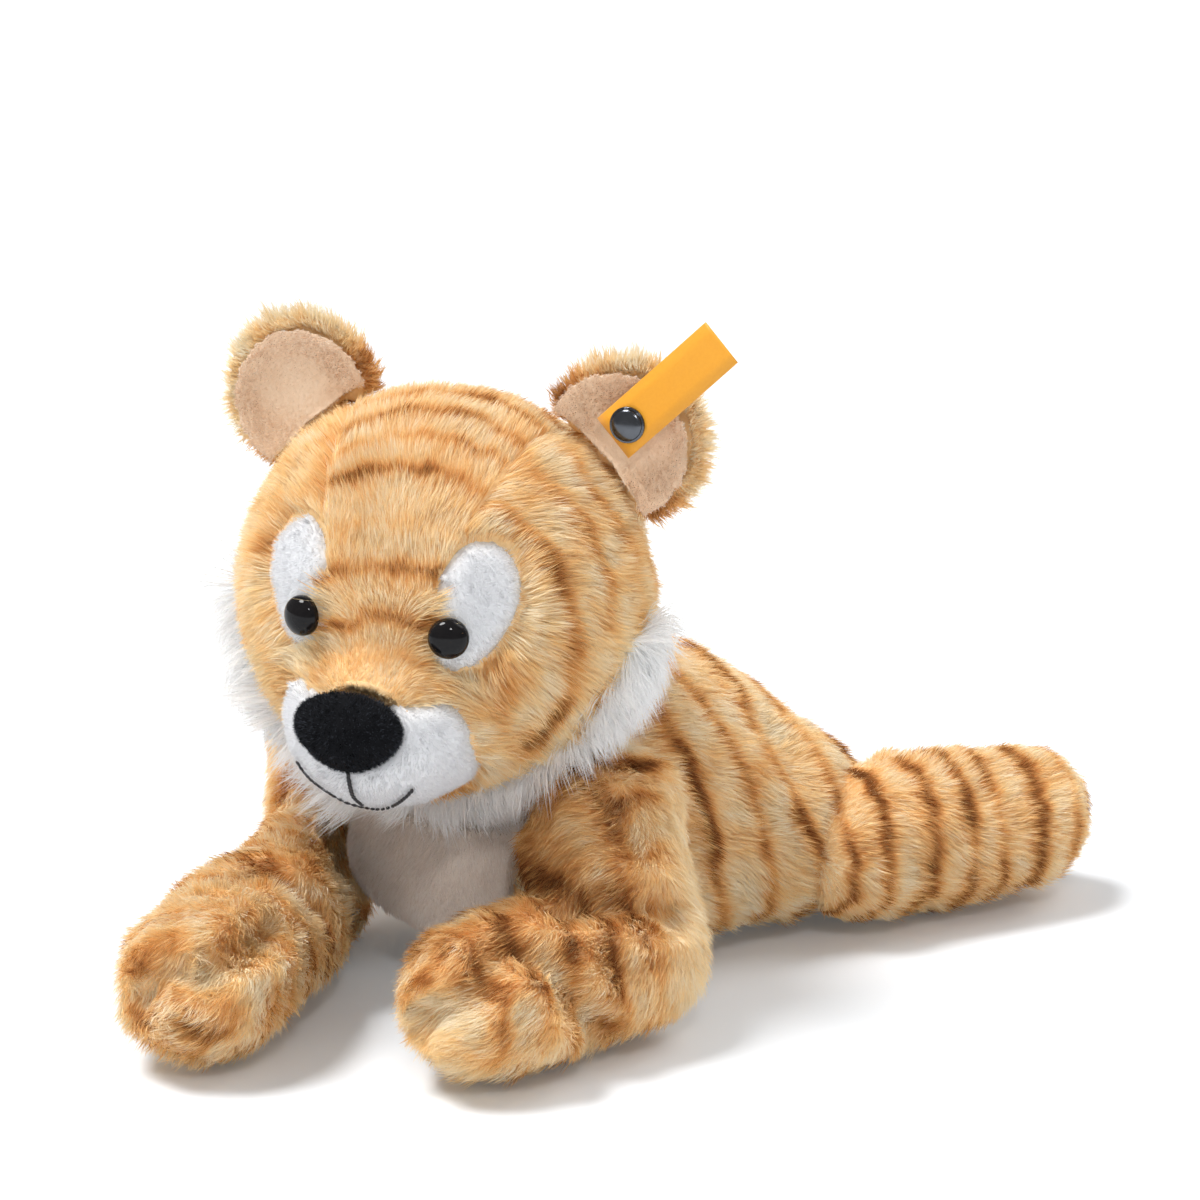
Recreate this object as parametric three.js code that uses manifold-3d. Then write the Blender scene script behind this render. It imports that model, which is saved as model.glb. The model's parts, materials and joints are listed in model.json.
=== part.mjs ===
// A plush tiger lying on its belly. Its head looks up and round to its left, its forelegs are bent forward
// and its hind legs are stretched out behind. Lengths are in millimetres and angles in degrees. The torso
// lies along Y with its front towards -Y, +X is the tiger's left, +Z is up, and the origin is on the floor
// under the middle of the belly.
import * as THREE from 'three';
import { mergeVertices } from 'three/addons/utils/BufferGeometryUtils.js';
import Module from 'manifold-3d';

const wasm = await Module();
wasm.setup();

// Sewing
const seamGap = 0.3; // clearance between two sewn neighbours
const moveGap = 0.6; // clearance that a moving piece keeps at each end of its travel
const furThickness = 4; // backing cloth and the dense foot of the pile
const restDepth = 0.5; // how deep each form that lies on the floor is flattened
const weldGrid = 0.01; // corners closer than this are one corner
const overrun = 60; // how far a cutting shape reaches past what it cuts

// Head: a skull that narrows to the chin, and a snout that swells out of it
const head = { x: 15, y: -65, z: 108, turn: 35, tilt: 3 };
const skull = { width: 109, depth: 100, height: 107, chinTaperShare: 0.05 };
const snout = { width: 55, depth: 50, height: 46, forward: 38, drop: 24, blend: 9 };
const gusset = { noseWidth: 26, noseZ: -14, browWidth: 24, browZ: 22, crownWidth: 64, crownZ: 62,
  napeWidth: 34, napeZ: -30 };
const eyePatch = { width: 21, height: 34, x: 23.5, z: 10, lean: 12, drop: 1.5 };
const muzzle = { width: 54, top: -9, corner: 16, cheekZ: -26, chinWidth: 36, chinZ: -46, bottom: -64,
  back: -27 };
const nose = { width: 27, height: 19, depth: 15, z: -19, proud: 5 };
const eye = { diameter: 10, rise: 4.2, rim: 1, shankDiameter: 3.4, shankLength: 9, x: 19.5, z: 3,
  clearance: 0.3 };
const washer = { diameter: 10, thickness: 1.4, below: 0.8, clearance: 0.4 };
const ruff = { width: 21, thickness: 3, sideY: 6, sideZ: -4, underY: -12, underZ: -68 };

// Ears: a plush front sewn to a fur back, turned out round a seam on the side of the crown
const ear = { diameter: 43, frontDiameter: 39, frontDrop: 2, backThickness: 6.5, frontThickness: 2.2,
  cup: 2, outAngle: 45, seamLift: 1.5, rise: 7, y: 10, fold: 12 };

// The rivet and the folded ribbon in the left ear
const rivet = { diameter: 9, rise: 1.9, rim: 0.8, postDiameter: 2.4, clearance: 0.3, backDiameter: 8,
  backThickness: 1.2, across: -1.1, along: 4.5 };
const tag = { width: 12.5, length: 38.5, ribbon: 0.5, slit: 0.5, overhang: 5.5, tilt: 46, lift: 0.4 };

// Neck: a ball of stuffing on which the head turns and nods
const neck = { diameter: 42, x: 8, y: -34, z: 70, turn: 10, nodDown: 3, nodUp: 10, clearance: 1,
  headRoom: 2 };

// Torso: stations from the chest to the rump
const torso = { frontY: -75, rearY: 75, width: 92, height: 88, undersideShare: 0.42, chestShare: 0.62,
  rumpShare: 0.8, squareShare: 0.7 };
const torsoWidthShares = [0.92, 0.98, 1, 1, 1.02, 0.92];
const torsoHeightShares = [0.86, 1, 1, 0.94, 0.76, 0.56];
const bib = { topWidth: 60, midWidth: 68, lowWidth: 54, top: 84, middle: 40, reach: 30, rear: 44,
  band: 12 };

// Legs: each is a stuffed sleeve that swings on the torso about the middle of its root
const foreleg = { girth: 45, raise: 5, lower: 25 };
const upperArmShares = [0.98, 1.02, 1];
const forearmShares = [1, 0.94, 0.96, 1.04, 1.03];
const foreLeft = { rootX: 45, rootY: -40, rootZ: 56, elbowX: 65, elbowY: -46, pawX: 72, pawY: -112 };
const foreRight = { rootX: -44, rootY: -58, rootZ: 52, elbowX: -38, elbowY: -64, pawX: 34, pawY: -158 };
const hindleg = { girth: 47, lift: 12, drop: 20 };
const hindSwellShares = [0.98, 1.02, 1.02, 1, 0.96, 0.92, 0.86];
const hindLeft = { rootX: 33, rootY: 46, rootZ: 25, footX: 44, footY: 125 };
const hindRight = { rootX: -33, rootY: 46, rootZ: 25, footX: -104, footY: 88 };
const tail = { girth: 16, rootX: -4, rootY: 68, rootZ: 18, bendX: -12, bendY: 96, tipX: -52, tipY: 132,
  swing: 8 };
const tailSwellShares = [1, 1, 0.96, 1, 1.06];

// Facets round and along each kind of form, the coarse ones for linings and stuffing
const facets = { headRound: 26, headAlong: 16, torsoRound: 22, torsoAlong: 14, legRound: 12, legAlong: 9,
  armAlong: 5, tailRound: 8, tailAlong: 10, coarseRound: 18, coarseAlong: 11, coreRound: 9, coreAlong: 4,
  cap: 3, small: 16, curve: 5 };
const stepAngle = 15; // how finely a swing is followed when its path is cut free

const up = new THREE.Vector3(0, 0, 1);
const radians = THREE.MathUtils.degToRad;

// Geometry and solids

// The same mesh with nothing but positions, and one vertex where several lie together
function welded(geometry) {
  const bare = new THREE.BufferGeometry();
  bare.setAttribute('position', geometry.getAttribute('position').clone());
  bare.setIndex(geometry.index ? geometry.index.clone() : null);
  return mergeVertices(bare);
}

function solidOf(geometry) {
  const merged = welded(geometry);
  const vertProperties = new Float32Array(merged.getAttribute('position').array);
  const triVerts = new Uint32Array(merged.index.array);
  return new wasm.Manifold(new wasm.Mesh({ numProp: 3, vertProperties, triVerts }));
}

function geometryOf(solid) {
  const mesh = solid.getMesh();
  const geometry = new THREE.BufferGeometry();
  geometry.setAttribute('position', new THREE.BufferAttribute(new Float32Array(mesh.vertProperties), 3));
  geometry.setIndex(new THREE.BufferAttribute(new Uint32Array(mesh.triVerts), 1));
  return geometry;
}

// The same mesh with its corners on a fine grid, without the faces that this folds flat
function onGrid(geometry, grid) {
  const position = geometry.getAttribute('position');
  const index = geometry.index.array;
  const numbers = new Map();
  const points = [];
  const placed = Array.from({ length: position.count }, (_, i) => {
    const corner = [position.getX(i), position.getY(i), position.getZ(i)].map((v) => Math.round(v / grid));
    const key = corner.join();
    if (!numbers.has(key)) {
      numbers.set(key, points.length);
      points.push(new THREE.Vector3(...corner).multiplyScalar(grid));
    }
    return numbers.get(key);
  });
  const faces = new Map();
  for (let i = 0; i < index.length; i += 3) {
    const face = [placed[index[i]], placed[index[i + 1]], placed[index[i + 2]]];
    const key = [...face].sort((a, b) => a - b).join();
    if (new Set(face).size < 3) {
      continue;
    }
    if (faces.has(key)) {
      faces.delete(key);
    } else {
      faces.set(key, face);
    }
  }
  const clean = new THREE.BufferGeometry().setFromPoints(points);
  clean.setIndex([...faces.values()].flat());
  return clean;
}

function moved(solid, matrix) {
  return solidOf(geometryOf(solid).applyMatrix4(matrix));
}

// A form as a closed loft: a tip, rings of points with equal counts, and another tip
function loft(startTip, rings, endTip) {
  const points = [startTip, ...rings.flat(), endTip];
  const count = rings[0].length;
  const vertex = (ring, side) => 1 + ring * count + (side % count);
  const last = points.length - 1;
  const index = [];
  for (let side = 0; side < count; side += 1) {
    index.push(0, vertex(0, side + 1), vertex(0, side));
    index.push(last, vertex(rings.length - 1, side), vertex(rings.length - 1, side + 1));
    for (let ring = 0; ring + 1 < rings.length; ring += 1) {
      const [a, b] = [vertex(ring, side), vertex(ring, side + 1)];
      const [c, d] = [vertex(ring + 1, side), vertex(ring + 1, side + 1)];
      index.push(a, b, d, a, d, c);
    }
  }
  const geometry = new THREE.BufferGeometry().setFromPoints(points);
  geometry.setIndex(index);
  return facedOut(geometry);
}

// The same mesh with its faces turned outwards
function facedOut(geometry) {
  const faced = welded(geometry);
  const position = faced.getAttribute('position');
  const index = faced.index.array;
  const corners = [new THREE.Vector3(), new THREE.Vector3(), new THREE.Vector3()];
  let volume = 0;
  for (let i = 0; i < index.length; i += 3) {
    corners.forEach((corner, k) => corner.fromBufferAttribute(position, index[i + k]));
    volume += corners[0].dot(corners[1].clone().cross(corners[2]));
  }
  if (volume < 0) {
    const flipped = Array.from(index);
    for (let i = 0; i < flipped.length; i += 3) {
      [flipped[i], flipped[i + 1]] = [flipped[i + 1], flipped[i]];
    }
    faced.setIndex(flipped);
  }
  return faced;
}

// The same form with each point moved out along its normal, or in where the amount is negative
function grown(geometry, amount) {
  const copy = geometry.clone();
  copy.computeVertexNormals();
  const position = copy.getAttribute('position');
  const normal = copy.getAttribute('normal');
  for (let i = 0; i < position.count; i += 1) {
    const place = new THREE.Vector3().fromBufferAttribute(position, i);
    place.addScaledVector(new THREE.Vector3().fromBufferAttribute(normal, i), amount);
    position.setXYZ(i, place.x, place.y, place.z);
  }
  copy.deleteAttribute('normal');
  return copy;
}

// A smooth value read from shares spread evenly from 0 to 1
function swell(shares, t) {
  const place = Math.min(Math.max(t, 0), 1) * (shares.length - 1);
  const low = Math.min(Math.floor(place), shares.length - 2);
  const at = (i) => shares[Math.min(Math.max(i, 0), shares.length - 1)];
  const f = place - low;
  const [a, b, c, d] = [at(low - 1), at(low), at(low + 1), at(low + 2)];
  return b + 0.5 * f * (c - a + f * (2 * a - 5 * b + 4 * c - d + f * (3 * (b - c) + d - a)));
}

// A stuffed sleeve along a curve, with round ends
function sleeve(curve, girth, shares, round, along) {
  const length = curve.getLength();
  const radius = girth / 2;
  const stations = [];
  for (let i = 1; i <= facets.cap; i += 1) {
    const angle = (Math.PI / 2) * (i / facets.cap);
    stations.push({ at: radius * (1 - Math.cos(angle)), share: Math.sin(angle) });
  }
  const middle = [];
  for (let i = 1; i < along; i += 1) {
    middle.push({ at: radius + (length - 2 * radius) * (i / along), share: 1 });
  }
  const lastStations = stations.map(({ at, share }) => ({ at: length - at, share })).reverse();
  const all = [...stations, ...middle, ...lastStations];
  const side = new THREE.Vector3().crossVectors(curve.getTangentAt(0), up);
  const rings = all.map(({ at, share }) => {
    const t = at / length;
    const centre = curve.getPointAt(t);
    const tangent = curve.getTangentAt(t);
    side.addScaledVector(tangent, -side.dot(tangent)).normalize();
    const other = new THREE.Vector3().crossVectors(tangent, side);
    const size = radius * share * swell(shares, t);
    return Array.from({ length: round }, (_, k) => {
      const angle = (2 * Math.PI * k) / round;
      return centre.clone().addScaledVector(side, size * Math.cos(angle))
        .addScaledVector(other, size * Math.sin(angle));
    });
  });
  return loft(curve.getPointAt(0), rings, curve.getPointAt(1));
}

function ball(centre, diameter) {
  const sphere = new THREE.SphereGeometry(diameter / 2, facets.small, facets.small / 2);
  return sphere.translate(centre.x, centre.y, centre.z);
}

function pushed(shape, depth) {
  return new THREE.ExtrudeGeometry(shape, { depth, bevelEnabled: false, curveSegments: facets.curve });
}

// A flat outline in X and Z, pushed through along Y from front to back
function throughY(shape, front, back) {
  return solidOf(pushed(shape, back - front).rotateX(Math.PI / 2).translate(0, back, 0));
}

// A flat outline in X and Y, pushed through along Z from bottom to top
function throughZ(shape, bottom, top) {
  return solidOf(pushed(shape, top - bottom).translate(0, 0, bottom));
}

function outline(points) {
  return new THREE.Shape(points.map(([x, y]) => new THREE.Vector2(x, y)));
}

function aboveFloor(solid) {
  const block = new THREE.BoxGeometry(8 * overrun, 8 * overrun, overrun);
  return solid.subtract(solidOf(block.translate(0, 0, -overrun / 2)));
}

function turnAbout(pivot, axis, degrees) {
  const back = new THREE.Matrix4().makeTranslation(-pivot.x, -pivot.y, -pivot.z);
  const turn = new THREE.Matrix4().makeRotationAxis(axis.clone().normalize(), radians(degrees));
  return new THREE.Matrix4().makeTranslation(pivot.x, pivot.y, pivot.z).multiply(turn).multiply(back);
}

// Every place that a form reaches as it is moved by each of the matrices
function swept(geometry, matrices) {
  let whole = null;
  for (const matrix of matrices) {
    const copy = solidOf(geometry.clone().applyMatrix4(matrix));
    whole = whole ? whole.add(copy) : copy;
  }
  return whole;
}

function swings(from, to) {
  return steps(from, to, Math.ceil((to - from) / stepAngle) + 1);
}

function steps(from, to, count) {
  return Array.from({ length: count }, (_, i) => from + ((to - from) * i) / (count - 1));
}

// Head forms, in the head's own frame: the face looks along -Y

function farHit(direction, centre, halves) {
  const scale = (v) => new THREE.Vector3(v.x / halves.x, v.y / halves.y, v.z / halves.z);
  const d = scale(direction);
  const c = scale(centre);
  const a = d.dot(d);
  const b = d.dot(c);
  const inside = b * b - a * (c.dot(c) - 1);
  return inside > 0 ? (b + Math.sqrt(inside)) / a : 0;
}

function headReach(direction) {
  const chin = 1 - skull.chinTaperShare * Math.max(-direction.z, 0);
  const skullHalves = new THREE.Vector3((skull.width / 2) * chin, skull.depth / 2, skull.height / 2);
  const a = farHit(direction, new THREE.Vector3(), skullHalves);
  const b = farHit(direction, new THREE.Vector3(0, -snout.forward, -snout.drop),
    new THREE.Vector3(snout.width / 2, snout.depth / 2, snout.height / 2));
  const overlap = Math.max(snout.blend - Math.abs(a - b), 0) / snout.blend;
  return Math.max(a, b) + (overlap * overlap * snout.blend) / 4;
}

function headForm(round, along) {
  const point = (polar, turn) => {
    const direction = new THREE.Vector3(Math.sin(polar) * Math.cos(turn), -Math.cos(polar),
      Math.sin(polar) * Math.sin(turn));
    return direction.multiplyScalar(headReach(direction));
  };
  const rings = [];
  for (let i = 1; i < along; i += 1) {
    const polar = (Math.PI * i) / along;
    rings.push(Array.from({ length: round }, (_, k) => point(polar, (2 * Math.PI * k) / round)));
  }
  return loft(point(0, 0), rings, point(Math.PI, 0));
}

// The torso: elliptical stations that swell and taper, flatter below than above
function torsoForm(round, along) {
  const rings = [];
  for (let i = 1; i < along; i += 1) {
    const angle = (Math.PI * i) / along;
    const t = (1 - Math.cos(angle)) / 2;
    const end = Math.sin(angle) ** (t < 0.5 ? torso.chestShare : torso.rumpShare);
    const y = torso.frontY + (torso.rearY - torso.frontY) * t;
    const halfWidth = (torso.width / 2) * end * swell(torsoWidthShares, t);
    const height = torso.height * swell(torsoHeightShares, t);
    const middle = height * torso.undersideShare - restDepth;
    rings.push(Array.from({ length: round }, (_, k) => {
      const around = (2 * Math.PI * k) / round;
      const over = Math.sin(around) > 0;
      const square = (value) => (over ? value : Math.sign(value) * Math.abs(value) ** torso.squareShare);
      const rise = height * (over ? 1 - torso.undersideShare : torso.undersideShare);
      return new THREE.Vector3(halfWidth * square(Math.cos(around)), y,
        middle + rise * end * square(Math.sin(around)));
    }));
  }
  const tip = (t, y) => new THREE.Vector3(0, y,
    torso.height * swell(torsoHeightShares, t) * torso.undersideShare - restDepth);
  return loft(tip(0, torso.frontY), rings, tip(1, torso.rearY));
}

function curveThrough(...points) {
  return new THREE.CatmullRomCurve3(points.map(([x, y, z]) => new THREE.Vector3(x, y, z)));
}

// An upper arm from the shoulder to the elbow, and a forearm from the elbow to the paw's tip
function forelegCurves(leg) {
  const reach = foreleg.girth / 2;
  const root = new THREE.Vector3(leg.rootX, leg.rootY, leg.rootZ);
  const elbow = new THREE.Vector3(leg.elbowX, leg.elbowY, reach - restDepth);
  const paw = new THREE.Vector3(leg.pawX, leg.pawY, elbow.z);
  const down = elbow.clone().sub(root).setLength(reach);
  const ahead = paw.clone().sub(elbow).setLength(reach);
  return [new THREE.LineCurve3(root.clone().sub(down), elbow.clone().add(down)),
    new THREE.LineCurve3(elbow.clone().sub(ahead), paw)];
}

function hindlegCurve(leg) {
  const low = hindleg.girth / 2 - restDepth;
  const reach = new THREE.Vector3(leg.footX - leg.rootX, leg.footY - leg.rootY, 0);
  reach.setLength(hindleg.girth / 2);
  return curveThrough([leg.rootX - reach.x, leg.rootY - reach.y, leg.rootZ],
    [leg.rootX + (leg.footX - leg.rootX) / 2, leg.rootY + (leg.footY - leg.rootY) / 2, low],
    [leg.footX, leg.footY, low]);
}

function tailCurve() {
  const low = tail.girth / 2 - restDepth;
  return curveThrough([tail.rootX, tail.rootY - tail.girth, tail.rootZ],
    [tail.rootX, tail.rootY, tail.rootZ], [tail.bendX, tail.bendY, low],
    [(tail.bendX + tail.tipX) / 2, (tail.bendY + tail.tipY) / 2, low], [tail.tipX, tail.tipY, low]);
}

// The scene graph: the head's pieces are set out in the head's own frame

const tiger = new THREE.Group();
const headGroup = new THREE.Group();
headGroup.position.set(head.x, head.y, head.z);
headGroup.rotation.set(0, radians(head.tilt), radians(head.turn), 'ZYX');
tiger.add(headGroup);
tiger.updateMatrixWorld(true);

const looks = {
  goldFur: { color: 0xd9a35c, roughness: 0.95, metalness: 0 },
  paleFur: { color: 0xf3efe9, roughness: 0.95, metalness: 0 },
  whitePlush: { color: 0xf4f2ee, roughness: 0.9, metalness: 0 },
  creamPlush: { color: 0xddd2c4, roughness: 0.9, metalness: 0 },
  beigePlush: { color: 0xd0ab86, roughness: 0.9, metalness: 0 },
  blackFleece: { color: 0x151515, roughness: 0.95, metalness: 0 },
  blackGloss: { color: 0x070707, roughness: 0.12, metalness: 0 },
  nylon: { color: 0xe6e6e2, roughness: 0.5, metalness: 0 },
  ribbon: { color: 0xe59a1e, roughness: 0.45, metalness: 0 },
  darkMetal: { color: 0x4a4744, roughness: 0.2, metalness: 1 },
  fibre: { color: 0xf2f2f2, roughness: 1, metalness: 0 },
};

function addPiece(name, solid, look, group = tiger) {
  const geometry = onGrid(geometryOf(solid), weldGrid);
  geometry.computeVertexNormals();
  const mesh = new THREE.Mesh(geometry, new THREE.MeshStandardMaterial(looks[look]));
  mesh.name = name;
  group.add(mesh);
}

function without(solid, ...cutters) {
  return cutters.reduce((left, cutter) => left.subtract(cutter), solid);
}

// Head

const headToWorld = headGroup.matrixWorld;
const worldToHead = headToWorld.clone().invert();
const faceAcross = new THREE.Vector3(1, 0, 0).transformDirection(headToWorld);
const neckCentre = new THREE.Vector3(neck.x, neck.y, neck.z);
const headSkin = headForm(facets.headRound, facets.headAlong);
const headLining = grown(headForm(facets.coarseRound, facets.coarseAlong), -furThickness);
const neckSocket = ball(neckCentre, neck.diameter + 2 * neck.clearance).applyMatrix4(worldToHead);

function gussetOutline(extra) {
  const shape = new THREE.Shape();
  const half = (width) => width / 2 + extra;
  shape.moveTo(-half(gusset.noseWidth), gusset.noseZ - extra);
  shape.lineTo(half(gusset.noseWidth), gusset.noseZ - extra);
  shape.quadraticCurveTo(half(gusset.browWidth), gusset.browZ, half(gusset.crownWidth), gusset.crownZ);
  shape.lineTo(-half(gusset.crownWidth), gusset.crownZ);
  shape.quadraticCurveTo(-half(gusset.browWidth), gusset.browZ,
    -half(gusset.noseWidth), gusset.noseZ - extra);
  return shape;
}

function napeOutline(extra) {
  const half = (width) => width / 2 + extra;
  const nape = gusset.napeZ - extra;
  return outline([[-half(gusset.napeWidth), nape], [half(gusset.napeWidth), nape],
    [half(gusset.crownWidth), gusset.crownZ], [-half(gusset.crownWidth), gusset.crownZ]]);
}

function gussetBlock(extra) {
  return throughY(gussetOutline(extra), -2 * overrun, 0).add(throughY(napeOutline(extra), 0, 2 * overrun));
}

function patchBlock(side, extra) {
  const shape = new THREE.Shape();
  shape.absellipse(side * eyePatch.x, eyePatch.z, eyePatch.width / 2 + extra, eyePatch.height / 2 + extra,
    0, 2 * Math.PI, false, side * -radians(eyePatch.lean));
  return throughY(shape, -2 * overrun, 0);
}

function muzzleBlock(extra) {
  const half = muzzle.width / 2 + extra;
  const chin = muzzle.chinWidth / 2 + extra;
  const top = muzzle.top + extra;
  const shape = new THREE.Shape();
  shape.moveTo(-chin, muzzle.bottom);
  shape.lineTo(chin, muzzle.bottom);
  shape.lineTo(chin, muzzle.chinZ);
  shape.quadraticCurveTo(half, (muzzle.chinZ + muzzle.cheekZ) / 2, half, muzzle.cheekZ);
  shape.quadraticCurveTo(half, top, half - muzzle.corner, top);
  shape.lineTo(muzzle.corner - half, top);
  shape.quadraticCurveTo(-half, top, -half, muzzle.cheekZ);
  shape.quadraticCurveTo(-half, (muzzle.chinZ + muzzle.cheekZ) / 2, -chin, muzzle.chinZ);
  return throughY(shape, -2 * overrun, muzzle.back + extra);
}

// The point of the head's front at a given place across and up, and the direction that it faces
function onSkin(x, z, sunk) {
  const at = (px, pz) => {
    let inside = 0;
    let outside = -skull.depth - snout.depth;
    for (let i = 0; i < 2 * facets.small; i += 1) {
      const point = new THREE.Vector3(px, (inside + outside) / 2, pz);
      if (point.length() < headReach(point.clone().normalize())) {
        inside = point.y;
      } else {
        outside = point.y;
      }
    }
    return new THREE.Vector3(px, inside, pz);
  };
  const across = at(x + seamGap, z).sub(at(x - seamGap, z));
  const rise = at(x, z + seamGap).sub(at(x, z - seamGap));
  const normal = across.cross(rise).normalize();
  return { point: at(x, z).addScaledVector(normal, -sunk), normal };
}

function lathed(profile, seat) {
  const points = profile.map(([radius, height]) => new THREE.Vector2(radius, height));
  const geometry = facedOut(new THREE.LatheGeometry(points, facets.small));
  const turn = new THREE.Quaternion().setFromUnitVectors(new THREE.Vector3(0, 1, 0), seat.normal);
  return geometry.applyQuaternion(turn).translate(seat.point.x, seat.point.y, seat.point.z);
}

function eyeProfile(extra) {
  const radius = eye.diameter / 2 + extra;
  const shank = eye.shankDiameter / 2 + extra;
  const dome = steps(0, 1, facets.curve).map((t) => [radius * Math.sin((t * Math.PI) / 2),
    (eye.rise - eye.rim + extra) * Math.cos((t * Math.PI) / 2) + eye.rim]);
  return [...dome, [radius, -extra], [shank, -extra], [shank, -eye.shankLength - extra],
    [0, -eye.shankLength - extra]];
}

function washerProfile(extra) {
  const bore = extra > 0 ? 0 : eye.shankDiameter / 2 + washer.clearance;
  const radius = washer.diameter / 2 + extra;
  const top = eyePatch.drop - furThickness - washer.below + extra;
  const bottom = top - washer.thickness - 2 * extra;
  return [[bore, top], [radius, top], [radius, bottom], [bore, bottom], [bore, top]];
}

const noseSeat = onSkin(0, nose.z, nose.depth / 2 - nose.proud);
const nosePad = welded(ball(new THREE.Vector3(), nose.width));
nosePad.scale(1, nose.depth / nose.width, nose.height / nose.width);
nosePad.translate(noseSeat.point.x, noseSeat.point.y, noseSeat.point.z);
const noseHole = solidOf(grown(nosePad, seamGap));

const eyeSeats = [1, -1].map((side) => onSkin(side * eye.x, eye.z, eyePatch.drop));
const eyeHoles = eyeSeats.map((seat) => solidOf(lathed(eyeProfile(eye.clearance), seat)));

function earSeat(side) {
  const angle = radians(ear.outAngle);
  const out = new THREE.Vector3(side * Math.sin(angle), 0, Math.cos(angle));
  const along = new THREE.Vector3(side * Math.cos(angle), 0, -Math.sin(angle));
  const direction = out.clone().multiplyScalar(skull.width / 2).add(new THREE.Vector3(0, ear.y, 0));
  direction.normalize();
  const seam = direction.clone().multiplyScalar(headReach(direction) + ear.seamLift);
  const centre = seam.clone().addScaledVector(out, ear.rise);
  return { side, out, along, seam, centre };
}

// A disc that faces -Y, cupped round the ear's own middle. It lies the given distances behind that middle
// and below it
function earDisc(seat, diameter, thickness, behind, drop) {
  const point = (polar, turn) => {
    const along = (diameter / 2) * Math.sin(polar) * Math.cos(turn);
    const out = (diameter / 2) * Math.sin(polar) * Math.sin(turn) - drop;
    const cup = ear.cup * (2 * Math.hypot(along, out) / ear.diameter) ** 2;
    const y = behind - (thickness / 2) * Math.cos(polar) - cup;
    return seat.centre.clone().addScaledVector(seat.along, along)
      .addScaledVector(seat.out, out).add(new THREE.Vector3(0, y, 0));
  };
  const rings = steps(0, Math.PI, facets.curve * 2).slice(1, -1).map((polar) => Array.from(
    { length: facets.small }, (_, k) => point(polar, (2 * Math.PI * k) / facets.small)));
  return loft(point(0, 0), rings, point(Math.PI, 0));
}

const earSeats = [earSeat(1), earSeat(-1)];
const earFrontBehind = -(ear.backThickness + ear.frontThickness) / 2 - seamGap;
const headCut = grown(headSkin, moveGap);

function addEar(seat, post) {
  const name = seat.side > 0 ? 'ear_left' : 'ear_right';
  const headPaths = swept(headCut, swings(-ear.fold, ear.fold).map(
    (angle) => turnAbout(seat.seam, seat.along, angle)));
  const cuts = post ? [headPaths, post] : [headPaths];
  const back = solidOf(earDisc(seat, ear.diameter, ear.backThickness, 0, 0));
  const front = solidOf(earDisc(seat, ear.frontDiameter, ear.frontThickness, earFrontBehind, ear.frontDrop));
  addPiece(`${name}_back`, without(back, ...cuts), 'goldFur', headGroup);
  addPiece(`${name}_front`, without(front, ...cuts), 'beigePlush', headGroup);
}

// Rivet and tag: a post through the left ear, a domed cap over the ribbon and a plate behind the ear

const forward = new THREE.Vector3(0, -1, 0);
const rivetPoint = earSeats[0].centre.clone().addScaledVector(earSeats[0].along, rivet.across)
  .addScaledVector(earSeats[0].out, rivet.along);
const tagThickness = 2 * tag.ribbon + tag.slit;
const earRimDepth = ear.cup + ear.frontThickness / 2 - earFrontBehind;
const tagBack = earRimDepth + tag.lift;
const capSeat = tagBack + tagThickness + seamGap;
const plateSeat = -ear.backThickness / 2 - seamGap;

function postCylinder(radius, from, to) {
  const cylinder = new THREE.CylinderGeometry(radius, radius, to - from, facets.small);
  cylinder.translate(rivetPoint.x, rivetPoint.y - (from + to) / 2, rivetPoint.z);
  return solidOf(cylinder);
}

function addRivetAndTag() {
  const seat = { point: rivetPoint, normal: forward };
  const post = rivet.postDiameter / 2;
  const plate = plateSeat - rivet.backThickness;
  const dome = steps(0, 1, facets.curve).map((t) => [(rivet.diameter / 2) * Math.sin((t * Math.PI) / 2),
    capSeat + rivet.rim + (rivet.rise - rivet.rim) * Math.cos((t * Math.PI) / 2)]);
  addPiece('tag_rivet', solidOf(lathed([...dome, [rivet.diameter / 2, capSeat], [post, capSeat],
    [post, plate], [0, plate]], seat)), 'darkMetal', headGroup);
  const bore = post + rivet.clearance / 2;
  const rim = rivet.backDiameter / 2;
  addPiece('rivet_back', solidOf(lathed([[bore, plateSeat], [rim, plateSeat], [rim, plate], [bore, plate],
    [bore, plateSeat]], seat)), 'darkMetal', headGroup);
  const far = tag.length - tag.overhang;
  const hairpin = outline([[-tag.overhang, 0], [far, 0], [far, tagThickness], [-tag.overhang, tagThickness],
    [-tag.overhang, tagThickness - tag.ribbon], [far - tag.ribbon, tagThickness - tag.ribbon],
    [far - tag.ribbon, tag.ribbon], [-tag.overhang, tag.ribbon]]);
  const ribbon = new THREE.ExtrudeGeometry(hairpin, { depth: tag.width, bevelEnabled: false });
  ribbon.translate(0, 0, -tag.width / 2).scale(1, -1, 1).translate(0, -tagBack, 0);
  ribbon.rotateY(-radians(tag.tilt)).translate(rivetPoint.x, rivetPoint.y, rivetPoint.z);
  const hole = postCylinder(post + rivet.clearance, tagBack - tag.lift, capSeat);
  addPiece('ear_tag', without(solidOf(facedOut(ribbon)), hole), 'ribbon', headGroup);
}

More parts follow.
